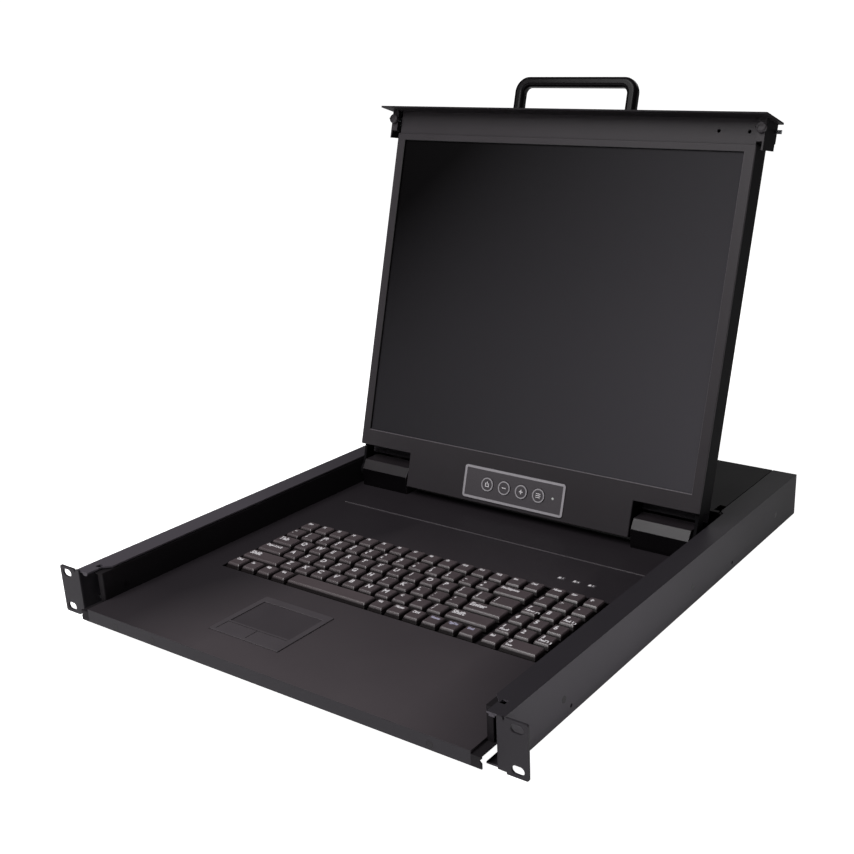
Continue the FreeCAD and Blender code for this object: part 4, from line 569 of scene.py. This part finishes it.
class ConsoleSizes(bpy.types.PropertyGroup):
    """Sizes of the console's pieces, all in millimetres."""
    fold_radius: FloatProperty(
        name="Fold radius", description="Rounding of the sheet-metal edges, in millimetres",
        default=0.45, min=0.1, max=1.0)
    key_pitch_x: FloatProperty(
        name="Key pitch across", description="Distance between key centres, in millimetres",
        default=18.7, min=15, max=20)
    key_pitch_y: FloatProperty(
        name="Key pitch deep", description="Distance between key rows, in millimetres",
        default=19.05, min=15, max=20)
    key_gap: FloatProperty(
        name="Key gap", description="Gap between two keycaps, in millimetres",
        default=2.2, min=0.5, max=3)
    key_dish: FloatProperty(
        name="Key dish", description="Depth of a keycap's hollow top, in millimetres",
        default=0.25, min=0, max=0.6)
    legend_size: FloatProperty(
        name="Legend size", description="Letter size on the keys, in millimetres",
        default=7.8, min=2, max=9)
    border_width: FloatProperty(
        name="Label border", description="Width of the line round the label, in millimetres",
        default=2.4, min=0.5, max=3)
    knob_dish: FloatProperty(
        name="Knob dish", description="Depth of the hollow in a latch knob, in millimetres",
        default=0.2, min=0, max=1)


class ConsoleColours(bpy.types.PropertyGroup):
    """Colours of the console's finishes."""
    steel: FloatVectorProperty(
        name="Powder coat", description="Colour of the coated steel", subtype="COLOR",
        size=3, default=colour("#49454b")[:3], min=0, max=1)
    plastic: FloatVectorProperty(
        name="Moulded plastic", description="Colour of the black mouldings", subtype="COLOR",
        size=3, default=colour("#242023")[:3], min=0, max=1)
    floor: FloatVectorProperty(
        name="Floor", description="Colour of the studio floor", subtype="COLOR",
        size=3, default=(0.92, 0.92, 0.92), min=0, max=1)


class ConsolePiece:
    """What every operator here has in common."""
    bl_options = {"REGISTER", "UNDO"}


class CONSOLE_OT_chassis(ConsolePiece, bpy.types.Operator):
    """Folded rails, rack ears and the rear box"""
    bl_idname = "console.chassis"
    bl_label = "Chassis sheets"

    def execute(self, context):
        radius = context.scene.console_sizes.fold_radius
        for side in ("left_", "right_"):
            rail = fold(side + "side_rail", "chassis", radius, 3)
            # The right rail's top takes the darker coat as painted shade.
            if side == "right_":
                tint(rail, "painted_shade_coat", lambda centre, normal: normal.z > SQUARE)
            # The outer fold of the top flange gets a dark line along the rail, painted shade in the
            # crease.
            tint(rail, "back", lambda centre, normal:
                 abs(normal.x) > SLANTED and normal.z > SLANTED)
            # The rack ears take the darker coat as painted shade.
            fold(side + "rack_ear", "painted_shade_coat", radius * 0.7)
        # The rear top cover takes the deep dark coat as painted shade.
        fold("rear_top_cover", "inner", radius * 0.8)
        for node in ("rear_floor", "rear_panel"):
            fold(node, "chassis", radius * 0.8)
        return {"FINISHED"}


class CONSOLE_OT_slides(ConsolePiece, bpy.types.Operator):
    """Telescopic slide members"""
    bl_idname = "console.slides"
    bl_label = "Slides"

    def execute(self, context):
        for side in ("left_", "right_"):
            for part in ("outer_slide", "middle_slide", "inner_slide"):
                fold(side + part, "zinc", 0.25)
        return {"FINISHED"}


class CONSOLE_OT_drawer(ConsolePiece, bpy.types.Operator):
    """Drawer sides, keyboard tray and base pan"""
    bl_idname = "console.drawer"
    bl_label = "Drawer sheets"

    def execute(self, context):
        radius = context.scene.console_sizes.fold_radius
        for side in ("left_", "right_"):
            # The drawer sides take the deep dark coat as painted shade.
            fold(side + "drawer_side", "inner", radius * 1.6, 3)
        tray = fold("keyboard_tray", "tray", radius * 0.8)
        front, rear = DECK_EDGE_Y
        # The lip's face takes the darker coat as painted shade, and the deck's front edge a lighter
        # coat as a painted highlight.
        tint(tray, "painted_shade_coat", lambda centre, normal: (FROM_BASE @ centre).y < LIP_FACE_Y)
        tint(tray, "edge", lambda centre, normal:
             normal.y < -0.3 and front < (FROM_BASE @ centre).y < rear)
        fold("drawer_base", "tray", radius * 0.6)
        coat("keyboard_plate", "plastic")
        return {"FINISHED"}


def keycap(width):
    """Keycap of that width with sloped sides and a hollow top, its corner at the origin."""
    sizes = bpy.context.scene.console_sizes
    gap = sizes.key_gap / 2
    deep = sizes.key_pitch_y
    cap = block("keycap", (gap, gap, KEY_BOTTOM), (width - gap, deep - gap, KEY_TOP))
    faces_where(cap, lambda centre, normal: normal.z > SQUARE)
    wide, long = width - 2 * gap, deep - 2 * gap
    bpy.ops.transform.resize(value=((wide - KEY_TAPER) / wide, (long - KEY_TAPER) / long, 1))
    bpy.ops.transform.translate(value=(0, KEY_LEAN, 0))
    bpy.ops.mesh.inset(thickness=KEY_RIM)
    bpy.ops.transform.translate(value=(0, 0, -sizes.key_dish))
    bpy.ops.object.mode_set(mode="OBJECT")
    # The cap is still drawn in millimetres here.
    soften(cap, KEY_ROUND / MM, 3, 6)
    return cap


class CONSOLE_OT_keys(ConsolePiece, bpy.types.Operator):
    """Keycaps with their printed legends"""
    bl_idname = "console.keys"
    bl_label = "Keys"

    def execute(self, context):
        sizes = context.scene.console_sizes
        pitch, deep = sizes.key_pitch_x, sizes.key_pitch_y
        caps, legends, groups = {}, {}, {}

        def copy(store, key, make, finish_name, shift):
            if key not in store:
                store[key] = paint(make(), finish_name)
                store[key].hide_set(True)
            piece = bpy.data.objects.new("part", store[key].data.copy())
            piece.data.transform(BASE @ Matrix.Translation(shift))
            bpy.context.scene.collection.objects.link(piece)
            return piece

        def place(group, label, x, y, units):
            width = units * pitch
            parts = groups.setdefault("space_bar" if units == 5 else group, [])
            parts.append(copy(caps, units, lambda: keycap(width), "key", (x, y, 0)))
            if label:
                first = label.split("\n")[0]
                size = sizes.legend_size
                if len(first) > 5:
                    size *= LONG_WORD
                elif len(first) > 1:
                    size *= NARROW_WORD if units == 1 else WIDE_WORD
                elif len(label) > 1:
                    size *= TWO_LINES
                ink = "blue_ink" if group == "front_row_keys" and x > VIOLET_X else "white_ink"
                shift = (x + sizes.key_gap / 2 + LEGEND_RIGHT, y + deep - LEGEND_DOWN,
                         KEY_TOP - sizes.key_dish + LEGEND_OVER)
                parts.append(copy(legends, (label, ink), lambda: words(label, size, LEGEND_BOLD),
                                  ink, shift))

        for number, (group, widths, labels) in enumerate(ROWS):
            x, y = KEYS_X, KEYS_Y + number * deep
            for units, label in zip(widths, labels):
                place(group, label, x, y, units)
                x += units * pitch
            x += KEYPAD_GAP
            for label in KEYPAD[number]:
                units = 2 if number == 0 and label[0] == "0" else 1
                place("keypad_keys", label, x, y, units)
                x += units * pitch
        for piece in list(caps.values()) + list(legends.values()):
            bpy.data.objects.remove(piece)
        for name, parts in groups.items():
            piece = join(parts, name + "_caps")
            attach(piece, name)
            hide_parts(name)
        return {"FINISHED"}


class CONSOLE_OT_touchpad(ConsolePiece, bpy.types.Operator):
    """Touchpad frame, film and two buttons"""
    bl_idname = "console.touchpad"
    bl_label = "Touchpad"

    def execute(self, context):
        fold("touchpad_bezel", "pad_frame", 0)
        fold("touchpad_surface", "pad", 0.2)
        for side in ("left_", "right_"):
            fold(side + "touch_button", "pad_frame", 0)
        return {"FINISHED"}


class CONSOLE_OT_indicators(ConsolePiece, bpy.types.Operator):
    """Three indicator lenses with their printed padlocks"""
    bl_idname = "console.indicators"
    bl_label = "Indicators"

    def execute(self, context):
        fold("indicator_lenses", "label", 0.2)
        parts = []
        for number, label in enumerate(("1", "A", "S")):
            x = LENS_X + number * LENS_PITCH
            lock = block("lock", (x + LOCK_LEFT, LOCK_FRONT, TRAY_PRINT_Z - 0.04),
                         (x + LOCK_RIGHT, LOCK_REAR, TRAY_PRINT_Z))
            bpy.ops.object.select_all(action="DESELECT")
            bpy.ops.mesh.primitive_torus_add(major_radius=BOW_R, minor_radius=BOW_WIRE_R,
                                             major_segments=20, minor_segments=6,
                                             location=(x + BOW_X, BOW_Y, TRAY_PRINT_Z - 0.1))
            bow = bpy.context.object
            bpy.ops.object.transform_apply(location=True, rotation=True, scale=True)
            letter = words(label, LETTER_SIZE, LETTER_BOLD)
            letter.data.transform(Matrix.Translation((x + LETTER_X, LETTER_Y, TRAY_PRINT_Z)))
            for part in (lock, bow, letter):
                part.data.transform(BASE)
                parts.append(paint(part, "white_ink"))
        marks = join(parts, "indicator_marks")
        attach(marks, "drawer")
        return {"FINISHED"}


class CONSOLE_OT_hinges(ConsolePiece, bpy.types.Operator):
    """Hinge bases, arms and moulded covers"""
    bl_idname = "console.hinges"
    bl_label = "Hinges"

    def execute(self, context):
        for side in ("left_", "right_"):
            cover = fold(side + "hinge_cover", "plastic", 0.9, 3)
            # The cover's front faces take the handle's black as painted shade.
            tint(cover, "handle", lambda centre, normal: normal.y < -SQUARE)
            fold(side + "hinge_base", "back", 0.3)
            fold(side + "hinge_arm", "back", 0.3)
        return {"FINISHED"}


def near_opening(centre, across, end):
    """Whether a bezel face is on the screen opening's wall at the given side or end, 1 or -1."""
    spot = FROM_LID @ centre
    low, high = OPENING_LOW - OPENING_NEAR, OPENING_HIGH + OPENING_NEAR
    if (spot.y > OPENING_DEPTH or spot.z < low or spot.z > high
            or abs(spot.x) > OPENING_HALF + OPENING_NEAR):
        return False
    limit = OPENING_HIGH if end > 0 else OPENING_LOW
    return (abs(spot.x * across - OPENING_HALF) < OPENING_NEAR
            or abs(spot.z - limit) < OPENING_NEAR)


class CONSOLE_OT_lid(ConsolePiece, bpy.types.Operator):
    """Lid bezel and back cover"""
    bl_idname = "console.lid"
    bl_label = "Lid"

    def execute(self, context):
        bezel = fold("lid_bezel", "lid", 0.6, 3)
        # Painted shade: the opening's left and upper walls are painted black; painted highlight:
        # its right and lower walls are lighter.
        tint(bezel, "mask", lambda centre, normal: near_opening(centre, -1, 1))
        tint(bezel, "edge", lambda centre, normal: near_opening(centre, 1, -1))
        # The back cover takes the darker coat and its sides the dark paint, both as painted shade.
        cover = fold("lid_back_cover", "painted_shade_coat", 0.5, 3)
        tint(cover, "back", lambda centre, normal: abs(normal.x) > STEEP)
        return {"FINISHED"}


class CONSOLE_OT_screen(ConsolePiece, bpy.types.Operator):
    """Screen face"""
    bl_idname = "console.screen"
    bl_label = "Screen"

    def execute(self, context):
        fold("screen_glass", "screen", 0.2)
        return {"FINISHED"}


def ring(outer, inner, x, s, d, finish_name):
    """Flat printed ring on the lid, in the lid's own millimetres."""
    bpy.ops.object.select_all(action="DESELECT")
    bpy.ops.mesh.primitive_circle_add(vertices=48, radius=outer, fill_type="NGON")
    piece = bpy.context.object
    bpy.ops.object.mode_set(mode="EDIT")
    bpy.ops.mesh.select_all(action="SELECT")
    bpy.ops.mesh.inset(thickness=outer - inner)
    bpy.ops.mesh.delete(type="FACE")
    bpy.ops.object.mode_set(mode="OBJECT")
    return on_lid(paint(piece, finish_name), x, s, d)


def on_lid(piece, x, s, d):
    """Stand a flat piece drawn in the XY plane up on the lid's face."""
    only(piece)
    bpy.ops.object.transform_apply(location=True, rotation=True, scale=True)
    stand = Matrix.Rotation(math.radians(90), 4, "X")
    piece.data.transform(LID @ Matrix.Translation((x, d, s)) @ stand)
    return piece


def bar(x0, x1, y0, y1, finish_name, x, s, d):
    """Flat printed bar on the lid."""
    bpy.ops.object.select_all(action="DESELECT")
    bpy.ops.mesh.primitive_plane_add(size=1, location=((x0 + x1) / 2, (y0 + y1) / 2, 0))
    piece = bpy.context.object
    piece.scale = (x1 - x0, y1 - y0, 1)
    return on_lid(paint(piece, finish_name), x, s, d)


class CONSOLE_OT_label(ConsolePiece, bpy.types.Operator):
    """Label film with its border line"""
    bl_idname = "console.label"
    bl_label = "Label panel"

    def execute(self, context):
        width = context.scene.console_sizes.border_width
        fold("osd_panel", "label", 0.2)
        bpy.ops.object.select_all(action="DESELECT")
        bpy.ops.mesh.primitive_plane_add(size=1)
        border = bpy.context.object
        border.scale = LABEL_SIZE + (1,)
        bpy.ops.object.transform_apply(location=True, rotation=True, scale=True)
        bpy.ops.object.mode_set(mode="EDIT")
        bpy.ops.mesh.select_all(action="SELECT")
        bpy.ops.mesh.bevel(offset=LABEL_CORNER, segments=6, affect="VERTICES")
        bpy.ops.mesh.select_all(action="SELECT")
        bpy.ops.mesh.inset(thickness=width)
        bpy.ops.mesh.delete(type="FACE")
        bpy.ops.object.mode_set(mode="OBJECT")
        border = on_lid(paint(border, "grey_ink"), 0, LABEL_S, LABEL_PRINT_D)
        border.name = "label_border"
        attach(border, "lid")
        fold("osd_lamp", "lamp", 0.25)
        return {"FINISHED"}


class CONSOLE_OT_buttons(ConsolePiece, bpy.types.Operator):
    """Four round buttons with printed rings and symbols"""
    bl_idname = "console.buttons"
    bl_label = "Round buttons"

    def execute(self, context):
        # Bars of the four symbols: power, minus, plus and menu, as left, right, bottom and top.
        symbols = (
            ((-0.45, 0.45, 0.3, 3.2), (-2.2, -1.4, -1.6, 1.6), (1.4, 2.2, -1.6, 1.6),
             (-2.2, 2.2, -2.3, -1.5)),
            ((-2.2, 2.2, -0.45, 0.45),),
            ((-2.2, 2.2, -0.45, 0.45), (-0.45, 0.45, -2.2, 2.2)),
            ((-2.6, 2.6, 1.5, 2.2), (-2.6, 2.6, -0.35, 0.35), (-2.6, 2.6, -2.2, -1.5)))
        for number, bars in enumerate(symbols, 1):
            node = "osd_button_%d" % number
            fold(node, "label", 0.25)
            spot = ((number - 2.5) * BUTTON_PITCH, BUTTON_S, BUTTON_PRINT_D)
            parts = [ring(RING_OUTER, RING_INNER, *spot, "grey_ink")]
            parts += [bar(*size, "white_ink", *spot) for size in bars]
            marks = join(parts, node + "_print")
            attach(marks, node)
        return {"FINISHED"}


class CONSOLE_OT_edge_plate(ConsolePiece, bpy.types.Operator):
    """Plate along the lid's top edge"""
    bl_idname = "console.edge_plate"
    bl_label = "Edge plate"

    def execute(self, context):
        plate = fold("front_plate", "lid", context.scene.console_sizes.fold_radius, 3)
        # The plate's forward part takes the deep dark coat and its rear flange the darker coat,
        # both as painted shade.
        tint(plate, "inner", lambda centre, normal: (FROM_LID @ centre).z > PLATE_TURN_S)
        tint(plate, "painted_shade_coat", lambda centre, normal:
             (FROM_LID @ centre).y > PLATE_FLANGE_D and (FROM_LID @ centre).z < PLATE_TURN_S)
        return {"FINISHED"}


class CONSOLE_OT_handle(ConsolePiece, bpy.types.Operator):
    """Carry handle"""
    bl_idname = "console.handle"
    bl_label = "Handle"

    def execute(self, context):
        grip = clean_copy("handle", "handle_bow")
        shade(grip, 40)
        dress(grip, "handle", "lid")
        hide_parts("handle")
        return {"FINISHED"}


class CONSOLE_OT_latches(ConsolePiece, bpy.types.Operator):
    """Latch brackets and sliding bolts"""
    bl_idname = "console.latches"
    bl_label = "Latches"

    def execute(self, context):
        dish = context.scene.console_sizes.knob_dish
        for side in ("left_", "right_"):
            bracket = fold(side + "latch_bracket", "lid", 0.35, 3)
            # The bracket's faces turned to the right take the dark paint as painted shade.
            tint(bracket, "back", lambda centre, normal: normal.x > STEEP)
            bolt = clean_copy(side + "latch_bolt", side + "latch_bolt_formed")
            faces_where(bolt, lambda centre, normal:
                        (FROM_LID @ centre).y < KNOB_FACE_D and normal.y < -SQUARE)
            bpy.ops.mesh.inset(thickness=KNOB_RIM * MM)
            bpy.ops.transform.translate(value=LID.to_3x3() @ Vector((0, dish, 0)))
            bpy.ops.object.mode_set(mode="OBJECT")
            soften(bolt, 0.2)
            dress(bolt, "zinc", body_of(side + "latch_bolt"))
            tint(bolt, "lid", lambda centre, normal: (FROM_LID @ centre).y < KNOB_STEM_D)
            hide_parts(side + "latch_bolt")
        return {"FINISHED"}


class CONSOLE_OT_screws(ConsolePiece, bpy.types.Operator):
    """Screws of the chassis, drawer and lid"""
    bl_idname = "console.screws"
    bl_label = "Screws"

    def execute(self, context):
        for node in ("chassis_screws", "drawer_screws", "lid_screws"):
            fold(node, "screw", 0.2)
        return {"FINISHED"}


class CONSOLE_OT_rear_sockets(ConsolePiece, bpy.types.Operator):
    """Power inlet and console ports"""
    bl_idname = "console.rear_sockets"
    bl_label = "Rear sockets"

    def execute(self, context):
        inlet = fold("power_inlet", "plastic", 0.3)
        # The three flat blades stand in the cavity, clear of its walls and its back.
        back, front = BLADES_Y
        tint(inlet, "contact", lambda centre, normal:
             abs(centre.x / MM - INLET_X) < BLADES_WIDE and back < centre.y / MM < front
             and abs(centre.z / MM - INLET_Z) < BLADES_HIGH)
        fold("console_ports", "contact", 0.15)
        return {"FINISHED"}


class CONSOLE_OT_boards(ConsolePiece, bpy.types.Operator):
    """Boards and the display module inside"""
    bl_idname = "console.boards"
    bl_label = "Boards"

    def execute(self, context):
        for node in ("main_board", "power_supply", "display_board", "button_board"):
            coat(node, "board")
        coat("lcd_module", "module")
        return {"FINISHED"}


class CONSOLE_OT_stage(ConsolePiece, bpy.types.Operator):
    """Floor, lights and camera"""
    bl_idname = "console.stage"
    bl_label = "Stage"

    def execute(self, context):
        scene = context.scene
        scene.view_settings.view_transform = "Standard"
        world = bpy.data.worlds.new("studio")
        world.use_nodes = True
        sky = world.node_tree
        # The backdrop is white, and the dim room round it gives the faint reflections.
        backdrop = add(sky, "ShaderNodeBackground", {"Color": (1, 1, 1, 1), "Strength": BACKDROP})
        room = add(sky, "ShaderNodeBackground", {"Color": (1, 0.98, 1, 1), "Strength": ROOM})
        path = add(sky, "ShaderNodeLightPath")
        both = add(sky, "ShaderNodeMixShader", {},
                   {0: path.outputs["Is Camera Ray"], 1: room.outputs[0], 2: backdrop.outputs[0]})
        sky.links.new(both.outputs[0], sky.nodes["World Output"].inputs["Surface"])
        scene.world = world
        bpy.ops.object.select_all(action="DESELECT")
        bpy.ops.mesh.primitive_plane_add(size=16, location=(0, 0, UNDERSIDE - 0.0003))
        floor = bpy.context.object
        floor.name = "studio_floor"
        material, tree, shader, place = finish("matt_studio_floor", Roughness=0.9)
        tone = tuple(scene.console_colours.floor) + (1.0,)
        soft = add(tree, "ShaderNodeTexNoise", {"Scale": 3.0}, {"Vector": place})
        mixed = add(tree, "ShaderNodeMix", {6: tone, 7: tuple(t * 0.995 for t in tone)},
                    {0: soft.outputs["Fac"]}, data_type="RGBA")
        tree.links.new(mixed.outputs[2], shader.inputs["Base Color"])
        tree.links.new(mixed.outputs[2], shader.inputs["Emission Color"])
        # The floor reads white, but lights the steel less than it shows.
        seen = add(tree, "ShaderNodeLightPath")
        glow = add(tree, "ShaderNodeMapRange", {3: FLOOR_LIGHTS, 4: FLOOR_SHOWS},
                   {0: seen.outputs["Is Camera Ray"]})
        tree.links.new(glow.outputs[0], shader.inputs["Emission Strength"])
        floor.data.materials.append(material)
        # Soft lights: their name, place, size and power, all aimed at the console.
        lights = (("key_light", (-0.25, -0.75, 1.4), 1.2, 24),
                  ("top_light", (0.1, -0.3, 2.2), 1.6, 3),
                  ("rear_light", (-0.3, 2.2, 1.2), 1.2, 4))
        for name, spot, size, power in lights:
            lamp = bpy.data.lights.new(name, "AREA")
            lamp.size = size
            lamp.energy = power
            light = bpy.data.objects.new(name, lamp)
            light.location = spot
            aim = Vector(LIGHTS_AIM) - Vector(spot)
            light.rotation_euler = aim.to_track_quat("-Z", "Y").to_euler()
            scene.collection.objects.link(light)
        yaw, pitch, roll = CAMERA_YAW, CAMERA_PITCH, CAMERA_ROLL
        forward = Vector((-math.sin(yaw) * math.cos(pitch), math.cos(yaw) * math.cos(pitch),
                          math.sin(pitch)))
        right = Vector((math.cos(yaw), math.sin(yaw), 0))
        up = right.cross(forward)
        right, up = (math.cos(roll) * right + math.sin(roll) * up,
                     math.cos(roll) * up - math.sin(roll) * right)
        eye = bpy.data.cameras.new("camera")
        eye.lens = CAMERA_LENS
        eye.shift_x, eye.shift_y = CAMERA_SHIFT
        eye.clip_end = 50
        camera = bpy.data.objects.new("camera", eye)
        turn = Matrix((right, up, -forward)).transposed().to_4x4()
        camera.matrix_world = Matrix.Translation(CAMERA_PLACE) @ turn
        scene.collection.objects.link(camera)
        scene.camera = camera
        return {"FINISHED"}


OPERATORS = (
    CONSOLE_OT_chassis, CONSOLE_OT_slides, CONSOLE_OT_drawer, CONSOLE_OT_keys,
    CONSOLE_OT_touchpad, CONSOLE_OT_indicators, CONSOLE_OT_hinges, CONSOLE_OT_lid,
    CONSOLE_OT_screen, CONSOLE_OT_label, CONSOLE_OT_buttons, CONSOLE_OT_edge_plate,
    CONSOLE_OT_handle, CONSOLE_OT_latches, CONSOLE_OT_screws, CONSOLE_OT_rear_sockets,
    CONSOLE_OT_boards, CONSOLE_OT_stage)


class CONSOLE_PT_panel(bpy.types.Panel):
    """Sidebar panel with the console's sizes, colours and pieces"""
    bl_idname = "CONSOLE_PT_panel"
    bl_label = "Rackmount console"
    bl_space_type = "VIEW_3D"
    bl_region_type = "UI"
    bl_category = "Console"

    def draw(self, context):
        for group in (context.scene.console_sizes, context.scene.console_colours):
            for name in group.__annotations__:
                self.layout.prop(group, name)
        for operator in OPERATORS:
            self.layout.operator(operator.bl_idname)


CLASSES = (ConsoleSizes, ConsoleColours) + OPERATORS + (CONSOLE_PT_panel,)


def register():
    """Register the classes and put the settings on the scene."""
    for cls in CLASSES:
        bpy.utils.register_class(cls)
    bpy.types.Scene.console_sizes = PointerProperty(type=ConsoleSizes)
    bpy.types.Scene.console_colours = PointerProperty(type=ConsoleColours)


def unregister():
    """Take the settings off the scene and unregister the classes."""
    del bpy.types.Scene.console_colours
    del bpy.types.Scene.console_sizes
    for cls in reversed(CLASSES):
        bpy.utils.unregister_class(cls)


def main():
    """Make the finishes and every piece."""
    register()
    finishes()
    for operator in OPERATORS:
        group, name = operator.bl_idname.split(".")
        getattr(getattr(bpy.ops, group), name)()


if __name__ == "__main__":
    main()
